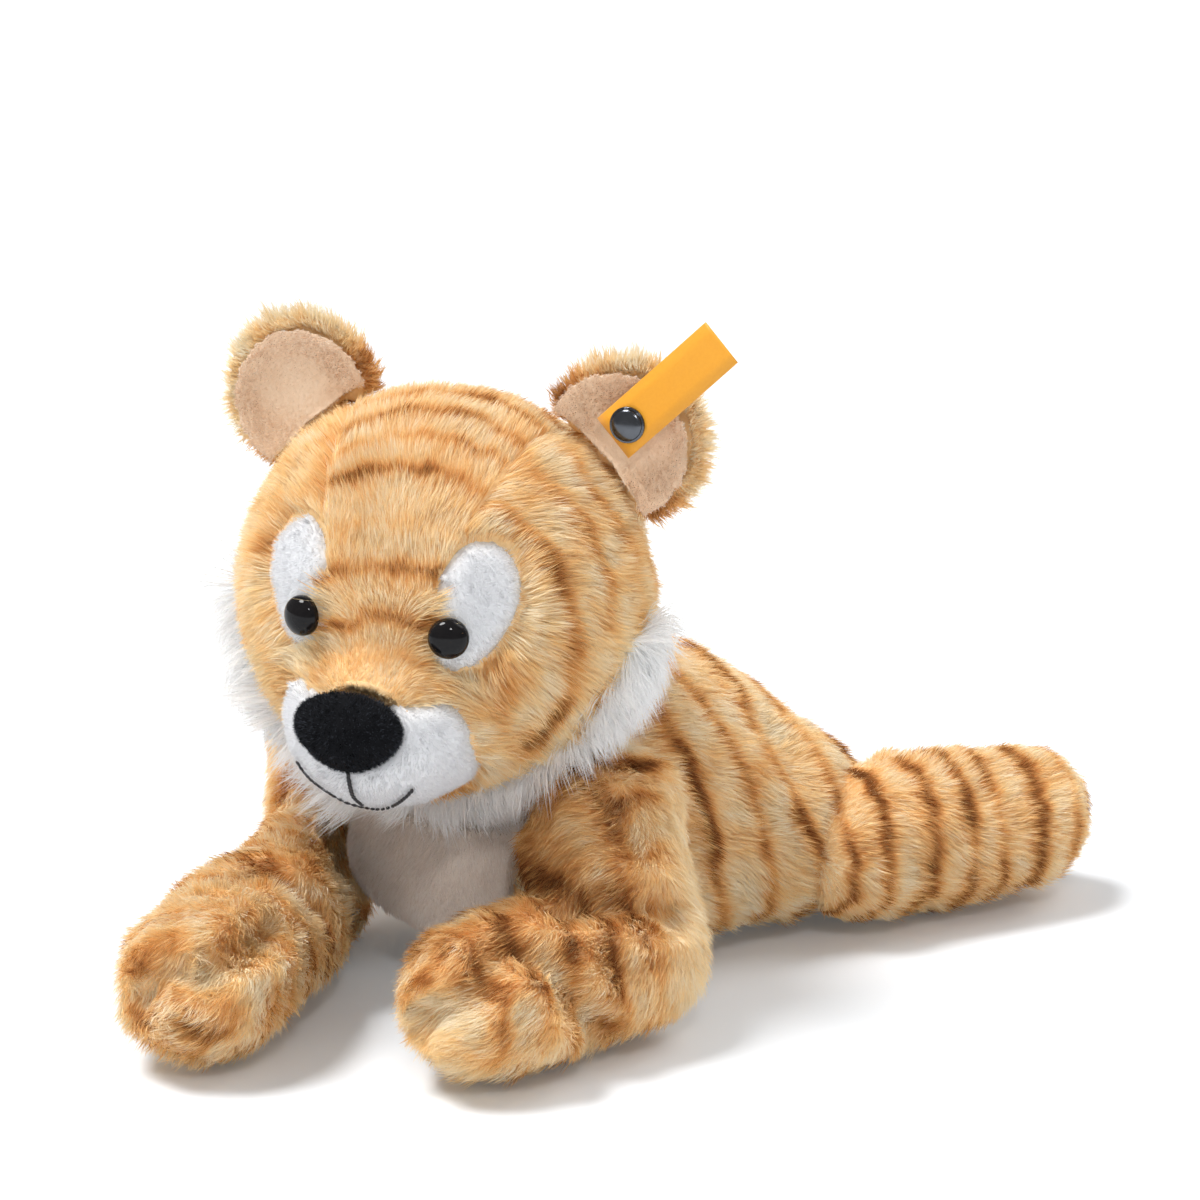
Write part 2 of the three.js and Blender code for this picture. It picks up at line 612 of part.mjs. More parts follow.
function addHead() {
  const shell = solidOf(headSkin).subtract(solidOf(headLining));
  const plushShell = solidOf(grown(headSkin, -eyePatch.drop)).subtract(solidOf(headLining));
  const socket = solidOf(neckSocket);
  const patches = [patchBlock(1, 0), patchBlock(-1, 0)];
  const wideGusset = gussetBlock(seamGap);
  const common = [socket, noseHole, ...eyeHoles];
  addPiece('head_centre_panel', without(shell.intersect(gussetBlock(0)), ...common), 'goldFur', headGroup);
  patches.forEach((patch, i) => addPiece(i === 0 ? 'eye_patch_left' : 'eye_patch_right',
    without(plushShell.intersect(patch), wideGusset, ...common), 'whitePlush', headGroup));
  const widePatches = patchBlock(1, seamGap).add(patchBlock(-1, seamGap));
  const snoutCloth = plushShell.intersect(muzzleBlock(0));
  addPiece('muzzle_panel', without(snoutCloth, wideGusset, widePatches, ...common), 'whitePlush', headGroup);
  const cheeks = without(shell, wideGusset, widePatches, muzzleBlock(seamGap), ...common);
  for (const side of [1, -1]) {
    const half = new THREE.BoxGeometry(2 * overrun, 4 * overrun, 4 * overrun);
    half.translate(side * (overrun + seamGap / 2), 0, 0);
    addPiece(side > 0 ? 'head_side_left' : 'head_side_right', cheeks.intersect(solidOf(half)), 'goldFur',
      headGroup);
  }
  addPiece('nose_pad', solidOf(nosePad), 'blackFleece', headGroup);
  const washerPockets = eyeSeats.map((seat) => solidOf(lathed(washerProfile(washer.clearance), seat)));
  eyeSeats.forEach((seat, i) => {
    const name = i === 0 ? 'left' : 'right';
    addPiece(`eye_${name}`, solidOf(lathed(eyeProfile(0), seat)), 'blackGloss', headGroup);
    addPiece(`eye_washer_${name}`, solidOf(lathed(washerProfile(0), seat)), 'nylon', headGroup);
  });
  const core = grown(headLining, -2 * seamGap);
  addPiece('head_stuffing', without(solidOf(core), ...common, ...washerPockets), 'fibre', headGroup);
  addRuff();
}

// The ruff: a strip round the jaw, from one cheek under the chin to the other
function addRuff() {
  const reach = ruff.width / 2;
  const strip = outline([[ruff.sideY - reach, ruff.sideZ], [ruff.sideY + reach, ruff.sideZ],
    [ruff.underY + reach, ruff.underZ], [ruff.underY - reach, ruff.underZ]]);
  const geometry = new THREE.ExtrudeGeometry(strip, { depth: 4 * overrun, bevelEnabled: false });
  geometry.translate(0, 0, -2 * overrun).rotateX(Math.PI / 2).rotateZ(Math.PI / 2);
  const band = solidOf(facedOut(geometry));
  const ring = solidOf(grown(headSkin, ruff.thickness)).subtract(solidOf(grown(headSkin, seamGap)));
  addPiece('cheek_ruff', without(ring.intersect(band), solidOf(neckSocket)), 'paleFur', headGroup);
}

addHead();
addEar(earSeats[0], postCylinder(rivet.postDiameter / 2 + rivet.clearance, -overrun, overrun));
addEar(earSeats[1]);
addRivetAndTag();

// Neck

addPiece('neck_stuffing', solidOf(ball(neckCentre, neck.diameter)), 'fibre');

// Every place that the head reaches, a plain copy of it turned and nodded to its limits
const plainHead = grown(headForm(facets.coarseRound, facets.coarseAlong), ruff.thickness + neck.headRoom);
const headPoses = [];
for (const turn of swings(-neck.turn, neck.turn)) {
  for (const nod of swings(-neck.nodUp, neck.nodDown)) {
    headPoses.push(turnAbout(neckCentre, up, turn).multiply(turnAbout(neckCentre, faceAcross, nod))
      .multiply(headToWorld));
  }
}
const headPaths = swept(plainHead, headPoses);

// Torso

const torsoSkin = torsoForm(facets.torsoRound, facets.torsoAlong);
const torsoLining = grown(torsoForm(facets.coarseRound, facets.coarseAlong), -furThickness);

function bibBlock(extra) {
  const half = (width) => width / 2 + extra;
  const front = outline([[-half(bib.lowWidth), -overrun], [half(bib.lowWidth), -overrun],
    [half(bib.midWidth), bib.middle], [half(bib.topWidth), bib.top], [-half(bib.topWidth), bib.top],
    [-half(bib.midWidth), bib.middle]]);
  const under = new THREE.Shape();
  under.absellipse(0, (torso.frontY + bib.rear) / 2, half(bib.lowWidth),
    (bib.rear - torso.frontY) / 2 + extra, 0, 2 * Math.PI);
  const chest = throughY(front, torso.frontY - overrun, torso.frontY + bib.reach + extra);
  return chest.add(throughZ(under, -overrun, bib.band + extra));
}

function addTorso() {
  const outer = aboveFloor(solidOf(torsoSkin));
  const shell = outer.subtract(solidOf(torsoLining));
  const socket = solidOf(ball(neckCentre, neck.diameter + 2 * neck.clearance));
  addPiece('torso_cover', without(shell, bibBlock(seamGap), headPaths, socket), 'goldFur');
  addPiece('chest_panel', without(shell.intersect(bibBlock(0)), headPaths, socket), 'creamPlush');
  const core = grown(torsoLining, -2 * seamGap);
  addPiece('torso_stuffing', without(solidOf(core), headPaths, socket), 'fibre');
}

addTorso();

// Legs and tail: each is trimmed by the torso over its whole swing

const torsoRoom = grown(torsoSkin, moveGap);

function addLimb(name, parts, girth, swing, round, along, headClear) {
  const angles = swings(swing.from, swing.to);
  const cuts = [swept(torsoRoom, angles.map((angle) => turnAbout(swing.pivot, swing.axis, -angle)))];
  if (headClear) {
    cuts.push(...angles.map((angle) => moved(headPaths, turnAbout(swing.pivot, swing.axis, -angle))));
  }
  const joined = (forms) => forms.map((form) => solidOf(form)).reduce((whole, solid) => whole.add(solid));
  const skin = joined(parts.map(({ curve, shares }) => sleeve(curve, girth, shares, round, along)));
  const linings = parts.map(({ curve, shares }) => grown(
    sleeve(curve, girth, shares, facets.coreRound, facets.coreAlong), -furThickness));
  const cover = aboveFloor(skin).subtract(joined(linings));
  addPiece(`${name}_cover`, without(cover, ...cuts), 'goldFur');
  const core = joined(linings.map((lining) => grown(lining, -2 * seamGap)));
  addPiece(`${name}_stuffing`, without(core, ...cuts), 'fibre');
}

const acrossBody = new THREE.Vector3(1, 0, 0);
for (const [name, leg] of [['foreleg_left', foreLeft], ['foreleg_right', foreRight]]) {
  const pivot = new THREE.Vector3(leg.rootX, leg.rootY, leg.rootZ);
  const [upper, fore] = forelegCurves(leg);
  const arms = [{ curve: upper, shares: upperArmShares }, { curve: fore, shares: forearmShares }];
  const swing = { pivot, axis: acrossBody, from: -foreleg.raise, to: foreleg.lower };
  addLimb(name, arms, foreleg.girth, swing, facets.legRound, facets.armAlong, true);
}
for (const [name, leg] of [['hindleg_left', hindLeft], ['hindleg_right', hindRight]]) {
  const pivot = new THREE.Vector3(leg.rootX, leg.rootY, leg.rootZ);
  const axis = new THREE.Vector3(leg.footY - leg.rootY, leg.rootX - leg.footX, 0).normalize();
  addLimb(name, [{ curve: hindlegCurve(leg), shares: hindSwellShares }], hindleg.girth,
    { pivot, axis, from: -hindleg.drop, to: hindleg.lift }, facets.legRound, facets.legAlong, false);
}
const tailPivot = new THREE.Vector3(tail.rootX, tail.rootY, tail.rootZ);
const wag = { pivot: tailPivot, axis: up, from: -tail.swing, to: tail.swing };
addLimb('tail', [{ curve: tailCurve(), shares: tailSwellShares }], tail.girth, wag,
  facets.tailRound, facets.tailAlong, false);

export default tiger;
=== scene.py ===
# Plush tiger lying on its belly: sewn cloth forms with real pile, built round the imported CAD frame.
import json
import math

import bmesh
import bpy
import numpy as np
from mathutils import Matrix, Vector
from mathutils.bvhtree import BVHTree
from mathutils.kdtree import KDTree


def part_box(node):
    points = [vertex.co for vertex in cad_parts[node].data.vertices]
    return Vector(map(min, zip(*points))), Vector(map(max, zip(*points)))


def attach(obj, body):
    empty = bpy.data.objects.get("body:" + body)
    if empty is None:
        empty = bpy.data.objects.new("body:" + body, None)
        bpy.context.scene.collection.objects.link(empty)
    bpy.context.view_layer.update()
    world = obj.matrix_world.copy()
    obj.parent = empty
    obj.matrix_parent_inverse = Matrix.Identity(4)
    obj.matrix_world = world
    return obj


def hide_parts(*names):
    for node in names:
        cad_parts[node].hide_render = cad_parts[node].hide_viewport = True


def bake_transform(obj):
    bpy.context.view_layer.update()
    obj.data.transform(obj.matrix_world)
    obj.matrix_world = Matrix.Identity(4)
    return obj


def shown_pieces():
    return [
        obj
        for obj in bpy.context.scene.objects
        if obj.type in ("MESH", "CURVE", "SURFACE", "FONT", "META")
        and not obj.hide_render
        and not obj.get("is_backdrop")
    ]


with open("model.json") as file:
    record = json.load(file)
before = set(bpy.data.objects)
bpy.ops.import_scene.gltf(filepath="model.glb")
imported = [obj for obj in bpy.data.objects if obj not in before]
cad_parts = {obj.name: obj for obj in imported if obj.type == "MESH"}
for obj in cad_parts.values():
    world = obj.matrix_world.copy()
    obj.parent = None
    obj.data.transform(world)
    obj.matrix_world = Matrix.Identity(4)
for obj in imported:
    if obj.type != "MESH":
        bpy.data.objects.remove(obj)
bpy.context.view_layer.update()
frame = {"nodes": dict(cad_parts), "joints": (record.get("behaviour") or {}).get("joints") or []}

mm = 0.001
weld = 1e-6                                 # vertices closer than this are one
scene = bpy.context.scene
jointAt = {joint["name"]: np.array(joint["pos_m"]) for joint in frame["joints"]}

# Where the head sits: its middle and how far it is turned to the tiger's left and tilted
headPose = {"centre": (15, -65, 108), "turn": 35, "tilt": 3}
headTurn = (Matrix.Rotation(math.radians(headPose["turn"]), 3, "Z")
            @ Matrix.Rotation(math.radians(headPose["tilt"]), 3, "Y"))
headAxes = np.array(headTurn)
headCentre = np.array(headPose["centre"]) * mm


def toHead(points):                         # world metres to millimetres in the head's own frame
    return (points - headCentre) @ headAxes / mm


def fromHead(points):
    return np.asarray(points) * mm @ headAxes.T + headCentre


# Shader sums, written as Python

class Term:
    def __init__(self, finish, socket):
        self.finish = finish
        self.socket = socket

    def combine(self, operation, other, flip=False):
        pair = (other, self) if flip else (self, other)
        return self.finish.node("ShaderNodeMath", {"operation": operation}, **{"0": pair[0], "1": pair[1]})

    def __add__(self, other):
        return self.combine("ADD", other)

    def __radd__(self, other):
        return self.combine("ADD", other, True)

    def __mul__(self, other):
        return self.combine("MULTIPLY", other)

    def __rmul__(self, other):
        return self.combine("MULTIPLY", other, True)

    def __pow__(self, other):
        return self.combine("POWER", other)

    def __rpow__(self, other):
        return self.combine("POWER", other, True)


class Finish:
    def __init__(self, name):
        self.material = bpy.data.materials.new(name)
        self.material.use_nodes = True
        self.tree = self.material.node_tree
        self.tree.nodes.clear()
        self.output = self.tree.nodes.new("ShaderNodeOutputMaterial")
        self.shader = self.tree.nodes.new("ShaderNodeBsdfPrincipled")
        self.tree.links.new(self.shader.outputs[0], self.output.inputs["Surface"])

    def node(self, kind, settings=None, output=0, **sockets):
        made = self.tree.nodes.new(kind)
        for key, value in (settings or {}).items():
            if key == "stops":
                self.setStops(made.color_ramp, value)
            else:
                setattr(made, key, value)
        for key, value in sockets.items():
            self.feed(made.inputs[int(key) if key.isdigit() else key.replace("_", " ")], value)
        return Term(self, made.outputs[output])

    def setStops(self, ramp, stops):
        while len(ramp.elements) < len(stops):
            ramp.elements.new(1.0)
        for element, (place, colour) in zip(ramp.elements, stops):
            element.position = place
            element.color = colour if len(colour) == 4 else (*colour, 1.0)

    def feed(self, socket, value):
        if isinstance(value, Term):
            self.tree.links.new(value.socket, socket)
        elif isinstance(value, tuple) and len(value) == 3 and socket.type == "RGBA":
            socket.default_value = (*value, 1.0)
        else:
            socket.default_value = value

    def set(self, **sockets):
        for key, value in sockets.items():
            self.feed(self.shader.inputs[key.replace("_", " ")], value)
        return self

    def place(self):
        return self.node("ShaderNodeTexCoord", output="Object")

    def noise(self, scale, detail=3.0, vector=None):
        return self.node("ShaderNodeTexNoise", Vector=vector or self.place(), Scale=scale, Detail=detail)

    def blendColours(self, factor, first, second):
        sockets = {"0": factor, "6": first, "7": second}
        return self.node("ShaderNodeMix", {"data_type": "RGBA"}, 2, **sockets)

    def mixShader(self, factor, second):    # another shader mixed into the surface
        sockets = {"0": factor, "1": Term(self, self.shader.outputs[0]), "2": second}
        mix = self.node("ShaderNodeMixShader", **sockets)
        self.tree.links.new(mix.socket, self.output.inputs["Surface"])

    def bump(self, height, strength, distance):
        return self.node("ShaderNodeBump", Height=height, Strength=strength, Distance=distance)


def hexColour(code):                        # a colour as seen on screen, as linear light
    parts = [int(code[i:i + 2], 16) / 255 for i in (1, 3, 5)]
    return tuple(c / 12.92 if c <= 0.04045 else ((c + 0.055) / 1.055) ** 2.4 for c in parts)


def dimmed(code, share):
    return tuple(c * share for c in hexColour(code))


# Pile: the strand's length runs along u and its tone along v of the map that the strands carry

def pileFinish(name, tones, rootShadeShare, through, shine):
    finish = Finish(name)
    strandMap = finish.node("ShaderNodeUVMap", {"uv_map": "OFBake"})
    parts = finish.node("ShaderNodeSeparateXYZ", Vector=strandMap).socket.node.outputs
    along, tone = Term(finish, parts[0]), Term(finish, parts[1])

    def tonesAt(share):
        stops = [(i / (len(tones) - 1), dimmed(code, share)) for i, code in enumerate(tones)]
        return finish.node("ShaderNodeValToRGB", {"stops": stops}, Fac=tone)

    # the strand's colour is dimmed towards its root: painted shade where the strands shadow each other at
    # their base
    colour = finish.blendColours(along ** 0.8, tonesAt(rootShadeShare), tonesAt(1.0))
    finish.set(Base_Color=colour, Roughness=0.8, Specular_IOR_Level=shine)
    finish.mixShader(through, finish.node("ShaderNodeBsdfTranslucent", Color=colour))
    return finish.material


def backingFinish(name, light, dark, scale):
    finish = Finish(name)
    grain = finish.noise(scale, 4.0)
    patches = finish.noise(70.0, 2.0)
    colour = finish.blendColours(grain * 0.6 + patches * 0.4, hexColour(dark), hexColour(light))
    finish.set(Base_Color=colour, Roughness=0.95, Specular_IOR_Level=0.08,
               Normal=finish.bump(grain, 0.5, 0.0006))
    return finish.material


# Each pile's tones from light to dark, the share of them left at its root as painted shade, the light it lets
# through and its shine
pileColours = {
    "goldPile": (["#fff8e6", "#fff0d0", "#ffe2aa", "#f2c380", "#c1874e", "#83522b"], 0.98, 0.4, 0.2),
    "whitePile": (["#ffffff", "#ffffff", "#fbfbfb", "#f0efee"], 0.98, 0.5, 0.2),
    "whiteNap": (["#f2f2f3", "#eaeaec", "#dcdce0"], 0.9, 0.4, 0.2),
    "creamNap": (["#fffaf5", "#fdf4ed", "#f3e8de"], 0.94, 0.4, 0.2),
    "beigeNap": (["#fff2e4", "#f8e2cc", "#e8cbad"], 0.86, 0.4, 0.2),
    "fleece": (["#43464d", "#15171a", "#060607"], 0.7, 0.1, 0.06),
}
# Each cloth's light and dark threads and how fine its grain is
backingColours = {
    "furBacking": ("#fbdcac", "#e6b87c", 900.0),
    "whiteBacking": ("#ececed", "#dedee0", 900.0),
    "creamBacking": ("#f4eae1", "#e6dacf", 900.0),
    "beigeBacking": ("#f3dcc4", "#e2c3a2", 900.0),
    "fleeceBacking": ("#1c1d20", "#0b0b0d", 900.0),
    "fibre": ("#f6f6f6", "#dedede", 300.0),
}
finishes = {name: pileFinish(name, *values) for name, values in pileColours.items()}
finishes.update({name: backingFinish(name, *values) for name, values in backingColours.items()})
print("finishes made")


# Meshes

def addObject(name, mesh, finish):
    thing = bpy.data.objects.new(name, mesh)
    scene.collection.objects.link(thing)
    thing.data.materials.clear()
    thing.data.materials.append(finishes[finish] if isinstance(finish, str) else finish)
    return thing


def fromBmesh(name, bm, finish, smooth=True):
    mesh = bpy.data.meshes.new(name)
    bm.to_mesh(mesh)
    bm.free()
    for polygon in mesh.polygons:
        polygon.use_smooth = smooth
    return addObject(name, mesh, finish)


# Blender lists a new ball's faces in another order each run, and the pile's places follow that order
def inOrder(bm):
    bm.verts.index_update()
    count = len(bm.verts)

    def number(face):
        a, b, c = sorted(vert.index for vert in face.verts)[:3]
        return (a * count + b) * count + c

    bm.faces.sort(key=number)


def mount(piece, body, slot, *nodes):
    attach(piece, body)
    if nodes:
        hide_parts(*nodes)
    return piece


def verticesOf(mesh):
    co = np.empty(len(mesh.vertices) * 3)
    mesh.vertices.foreach_get("co", co)
    return co.reshape(-1, 3)


def normalsOf(mesh):
    normal = np.empty(len(mesh.vertices) * 3)
    mesh.vertices.foreach_get("normal", normal)
    return normal.reshape(-1, 3)


def trianglesOf(mesh):
    mesh.calc_loop_triangles()
    index = np.empty(len(mesh.loop_triangles) * 3, int)
    mesh.loop_triangles.foreach_get("vertices", index)
    return index.reshape(-1, 3)


def treeOf(mesh):
    return BVHTree.FromPolygons([v.co for v in mesh.vertices], [p.vertices for p in mesh.polygons])


nodeTrees = {name: treeOf(node.data) for name, node in frame["nodes"].items()}


def ownersOf(points, nodes):                # which of the CAD nodes lies nearest to each point
    reach = np.array([[nodeTrees[node].find_nearest(point)[3] for node in nodes] for point in points])
    return reach.argmin(1)


def depthIn(points, tree):                  # how deep each point lies inside a closed form, in metres
    depth = np.empty(len(points))
    for i, point in enumerate(points):
        spot, normal, _, distance = tree.find_nearest(point)
        depth[i] = distance if (Vector(point) - spot).dot(normal) < 0 else -distance
    return depth


# A closed form round several CAD nodes, with round plugs that carry it into its neighbour
def stuffedForm(name, nodes, voxel, rounds, plugs=()):
    bm = bmesh.new()
    for node in nodes:
        bm.from_mesh(frame["nodes"][node].data)
    bmesh.ops.remove_doubles(bm, verts=bm.verts, dist=weld)
    for centre, radius in plugs:
        ball = bmesh.ops.create_icosphere(bm, subdivisions=3, radius=radius * mm)
        bmesh.ops.translate(bm, verts=ball["verts"], vec=Vector(centre))
    rough = bpy.data.meshes.new(name + "Rough")
    bm.to_mesh(rough)
    bm.free()
    holder = bpy.data.objects.new(name + "Rough", rough)
    scene.collection.objects.link(holder)
    remesh = holder.modifiers.new("remesh", "REMESH")
    remesh.mode = "VOXEL"
    remesh.voxel_size = voxel * mm
    mesh = bpy.data.meshes.new_from_object(holder.evaluated_get(bpy.context.evaluated_depsgraph_get()))
    bpy.data.objects.remove(holder)
    bm = bmesh.new()
    bm.from_mesh(mesh)
    keepLargest(bm)
    allAxes = {"use_axis_x": True, "use_axis_y": True, "use_axis_z": True}
    for _ in range(rounds):
        bmesh.ops.smooth_vert(bm, verts=bm.verts, factor=0.5, **allAxes)
    bm.to_mesh(mesh)
    bm.free()
    return mesh


def keepLargest(bm):
    left = set(bm.verts)
    groups = []
    while left:
        queue = [left.pop()]
        group = set(queue)
        while queue:
            for edge in queue.pop().link_edges:
                for vert in edge.verts:
                    if vert in left:
                        left.discard(vert)
                        group.add(vert)
                        queue.append(vert)
        groups.append(group)
    largest = max(groups, key=len)
    loose = [vert for group in groups if group is not largest for vert in group]
    bmesh.ops.delete(bm, geom=loose, context="VERTS")


def setVertices(mesh, co, smooth=False):
    mesh.vertices.foreach_set("co", co.ravel())
    mesh.update()
    if smooth:
        for polygon in mesh.polygons:
            polygon.use_smooth = True


def sunk(mesh, name, depths):               # a copy with each vertex moved in along its normal
    copy = mesh.copy()
    copy.name = name
    moved = verticesOf(mesh) - normalsOf(mesh) * np.asarray(depths).reshape(-1, 1) * mm
    setVertices(copy, moved, smooth=True)
    return copy


# Smooth unevenness, from -1 to 1, with bumps of about the given size in millimetres
def waves(points, size, seed):
    rng = np.random.default_rng(seed)
    total = np.zeros(len(points))
    for _ in range(7):
        direction = rng.normal(size=3)
        direction /= np.linalg.norm(direction) * size * mm * rng.uniform(0.8, 1.6)
        total += np.sin(points @ direction * 2 * math.pi + rng.uniform(0, 2 * math.pi))
    return np.clip(total / 3.2, -1, 1)


def band(value, middle, width):
    return np.exp(-((value - middle) / width) ** 2)


def unit(vectors):
    return vectors / np.maximum(np.linalg.norm(vectors, axis=-1, keepdims=True), 1e-12)


# Sizes are in millimetres and angles in radians.

strand = {"swirlSize": 22, "liftSize": 13, "lift": 0.22, "fineLiftSize": 5, "fineLift": 0.12,
          "leanSpread": 0.1, "leanLeast": 0.05, "leanMost": 1.45, "flattest": 1.62, "floorGap": 0.15,
          "rootDepth": 0.4, "taper": 0.85, "narrowest": 0.7, "widest": 1.3, "turned": 0.2, "lockTone": 0.8,
          "lockTip": 0.25, "lockMiddle": 0.7, "toneEdge": 0.02}


# Points spread evenly over a mesh, each with its normal and its share of every field given at the corners
def scatter(mesh, perSquareMm, seed, fields=None):
    rng = np.random.default_rng(seed)
    co, normal, triangles = verticesOf(mesh), normalsOf(mesh), trianglesOf(mesh)
    corners = co[triangles]
    area = np.linalg.norm(np.cross(corners[:, 1] - corners[:, 0], corners[:, 2] - corners[:, 0]), axis=1) / 2
    want = np.ones(len(co)) if fields is None or "growth" not in fields else fields["growth"]
    area = area * np.clip(want[triangles].mean(1), 0, None)
    count = int(area.sum() / mm ** 2 * perSquareMm * (1.0))
    chosen = rng.choice(len(triangles), count, p=area / area.sum())
    a, b = rng.random(count), rng.random(count)
    over = a + b > 1
    a[over], b[over] = 1 - a[over], 1 - b[over]
    weights = np.stack([1 - a - b, a, b], 1)
    found = {key: (field[triangles[chosen]] * weights).sum(1) for key, field in (fields or {}).items()}
    found["point"] = (corners[chosen] * weights[:, :, None]).sum(1)
    found["normal"] = unit((normal[triangles[chosen]] * weights[:, :, None]).sum(1))
    return found


def chosenOf(found, use):
    return {key: value[use] for key, value in found.items()}


# Each strand is a narrow blade that rises from its root, bends the way the pile is brushed and joins a lock.
# The short straight strands between them are the undercoat.
def growPile(name, found, coat, brush, tone, finish):
    rng = np.random.default_rng(coat["seed"])
    points, normals, count = found["point"], found["normal"], len(found["point"])
    flow = brush(points, normals)
    flow = unit(flow - (flow * normals).sum(1)[:, None] * normals)
    side = np.cross(normals, flow)
    swirl = coat["swirl"] * waves(points, strand["swirlSize"], coat["seed"] + 1)
    swirl = swirl + rng.normal(0, coat["stray"], count)
    flow = flow * np.cos(swirl)[:, None] + side * np.sin(swirl)[:, None]
    length = coat["length"] * mm * (1 + coat["spread"] * rng.uniform(-1, 1, count)) * found.get("reach", 1.0)
    under = rng.random(count) < coat["under"]
    length[under] *= coat["underLength"]
    lift = strand["lift"] * waves(points, strand["liftSize"], coat["seed"] + 2)
    lift = lift + strand["fineLift"] * waves(points, strand["fineLiftSize"], coat["seed"] + 3)
    lean = coat["lean"] + rng.normal(0, strand["leanSpread"], count) + lift
    lean = np.clip(lean, strand["leanLeast"], strand["leanMost"])
    later = np.minimum(lean + coat["bend"], strand["flattest"])
    rise = normals * np.cos(lean)[:, None] + flow * np.sin(lean)[:, None]
    sweep = normals * np.cos(later)[:, None] + flow * np.sin(later)[:, None]
    middle = points + rise * length[:, None] * 0.5
    tip = middle + sweep * length[:, None] * 0.5
    lock = locksOf(points, coat, rng)
    apart = points - points[lock]
    grip = coat["grip"] * rng.uniform(0.5, 1.0, count)[:, None]
    tip += grip * (tip[lock] + apart * strand["lockTip"] - tip)
    middle += 0.5 * grip * (middle[lock] + apart * strand["lockMiddle"] - middle)
    for part in (tip, middle):
        part[:, 2] = np.maximum(part[:, 2], strand["floorGap"] * mm)
    across = unit(np.cross(middle - points, normals) + rng.normal(0, strand["turned"], (count, 3)))
    width = coat["width"] * mm * rng.uniform(strand["narrowest"], strand["widest"], count)[:, None]
    width = width * 1.0
    root = points - normals * strand["rootDepth"] * mm
    shade = coat["tonal"] * (rng.normal(0, 1, count) + strand["lockTone"] * lockTone(lock, coat))
    darkest = 1 - strand["toneEdge"]
    tones = [np.clip(tone(spots) + shade, strand["toneEdge"], darkest) for spots in (points, middle, tip)]
    shape = {"root": root, "middle": middle, "tip": tip, "half": across * width * 0.5, "under": under}
    return bladeMesh(name, shape, tones, finish)


def locksOf(points, coat, rng):
    guides = rng.choice(len(points), max(len(points) // coat["perLock"], 1), replace=False)
    tree = KDTree(len(guides))
    for i, guide in enumerate(guides):
        tree.insert(points[guide], i)
    tree.balance()
    return guides[np.array([tree.find(point)[1] for point in points])]


def lockTone(lock, coat):
    return np.random.default_rng(coat["seed"] + 5).normal(0, 1, lock.max() + 1)[lock]


# A coat has too many blades for an operator each, so their corners are laid out together: a bent blade is a
# square with a triangle on it, a straight one is a triangle. The map gives each its height and its tone.
def bladeMesh(name, shape, tones, finish):
    bent, straight = ~shape["under"], shape["under"]
    half, waist = shape["half"], shape["half"] * strand["taper"]
    bentRows = np.stack([shape["root"] - half, shape["root"] + half, shape["middle"] + waist,
                         shape["middle"] - waist, shape["tip"]], 1)[bent]
    flatRows = np.stack([shape["root"] - half, shape["root"] + half, shape["tip"]], 1)[straight]
    bents, flats = len(bentRows), len(flatRows)
    mesh = bpy.data.meshes.new(name)
    mesh.vertices.add(bents * 5 + flats * 3)
    mesh.vertices.foreach_set("co", np.concatenate([bentRows.ravel(), flatRows.ravel()]))
    bentLoops = (np.arange(bents)[:, None] * 5 + np.array([0, 1, 2, 3, 3, 2, 4])).ravel()
    mesh.loops.add(bents * 7 + flats * 3)
    mesh.loops.foreach_set("vertex_index", np.concatenate([bentLoops, np.arange(flats * 3) + bents * 5]))
    mesh.polygons.add(bents * 2 + flats)
    bentStarts = (np.arange(bents)[:, None] * 7 + np.array([0, 4])).ravel()
    mesh.polygons.foreach_set("loop_start", np.concatenate([bentStarts, np.arange(flats) * 3 + bents * 7]))
    mesh.polygons.foreach_set("use_smooth", np.ones(bents * 2 + flats, bool))
    root, middle, tip = tones
    heights = np.array([0.02, 0.02, 0.5, 0.5, 0.5, 0.5, 0.98])
    apart = 0.004                           # gives each blade's face an area on the map
    bentTones = np.stack([root, root, middle, middle, middle, middle, tip], 1)[bent]
    bentTones += np.array([-1, 1, 1, -1, -1, 1, 0]) * apart
    flatTones = np.stack([root, root, tip], 1)[straight] + np.array([-1, 1, 0]) * apart
    bentPairs = np.stack([np.broadcast_to(heights, bentTones.shape), bentTones], 2)
    flatPairs = np.stack([np.broadcast_to(np.array([0.02, 0.02, 0.9]), flatTones.shape), flatTones], 2)
    uv = mesh.uv_layers.new(name="OFBake")
    uv.data.foreach_set("uv", np.concatenate([bentPairs.ravel(), flatPairs.ravel()]))
    mesh.update(calc_edges=True)
    return addObject(name, mesh, finish)


print("tools ready")

# Camera, floor and lamps: the photograph's view from the tiger's front left, slightly above

view = {"azimuth": 55.0, "elevation": 16.0, "distance": 1.1, "frame": 1200, "focalPixels": 4400,
        "headPixel": (445, 590)}


def addCamera():
    a, e = math.radians(view["azimuth"]), math.radians(view["elevation"])
    back = Vector((math.sin(a) * math.cos(e), -math.cos(a) * math.cos(e), math.sin(e)))
    right = Vector((math.cos(a), math.sin(a), 0))
    up = back.cross(right)
    shift = [(p - view["frame"] / 2) / view["focalPixels"] for p in view["headPixel"]]
    data = bpy.data.cameras.new("camera")
    data.sensor_width = 36
    data.lens = 36 * view["focalPixels"] / view["frame"]
    camera = bpy.data.objects.new("camera", data)
    camera.matrix_world = Matrix((right, up, back)).transposed().to_4x4()
    camera.location = Vector(headCentre) + view["distance"] * (back - right * shift[0] + up * shift[1])
    scene.collection.objects.link(camera)
    scene.camera = camera


studio = {"world": 0.36, "sun": 3.1, "sunSpread": 22, "sunFrom": (-0.22, -0.42, 1.0),
          "rim": 0.9, "rimSpread": 40, "rimFrom": (0.2, 0.75, 0.9), "floorGlow": 0.06,
          "catch": 3.2, "catchSize": 0.2, "catchAt": (1.0, -0.5, 1.0), "catchAim": (0, -0.03, 0.05)}


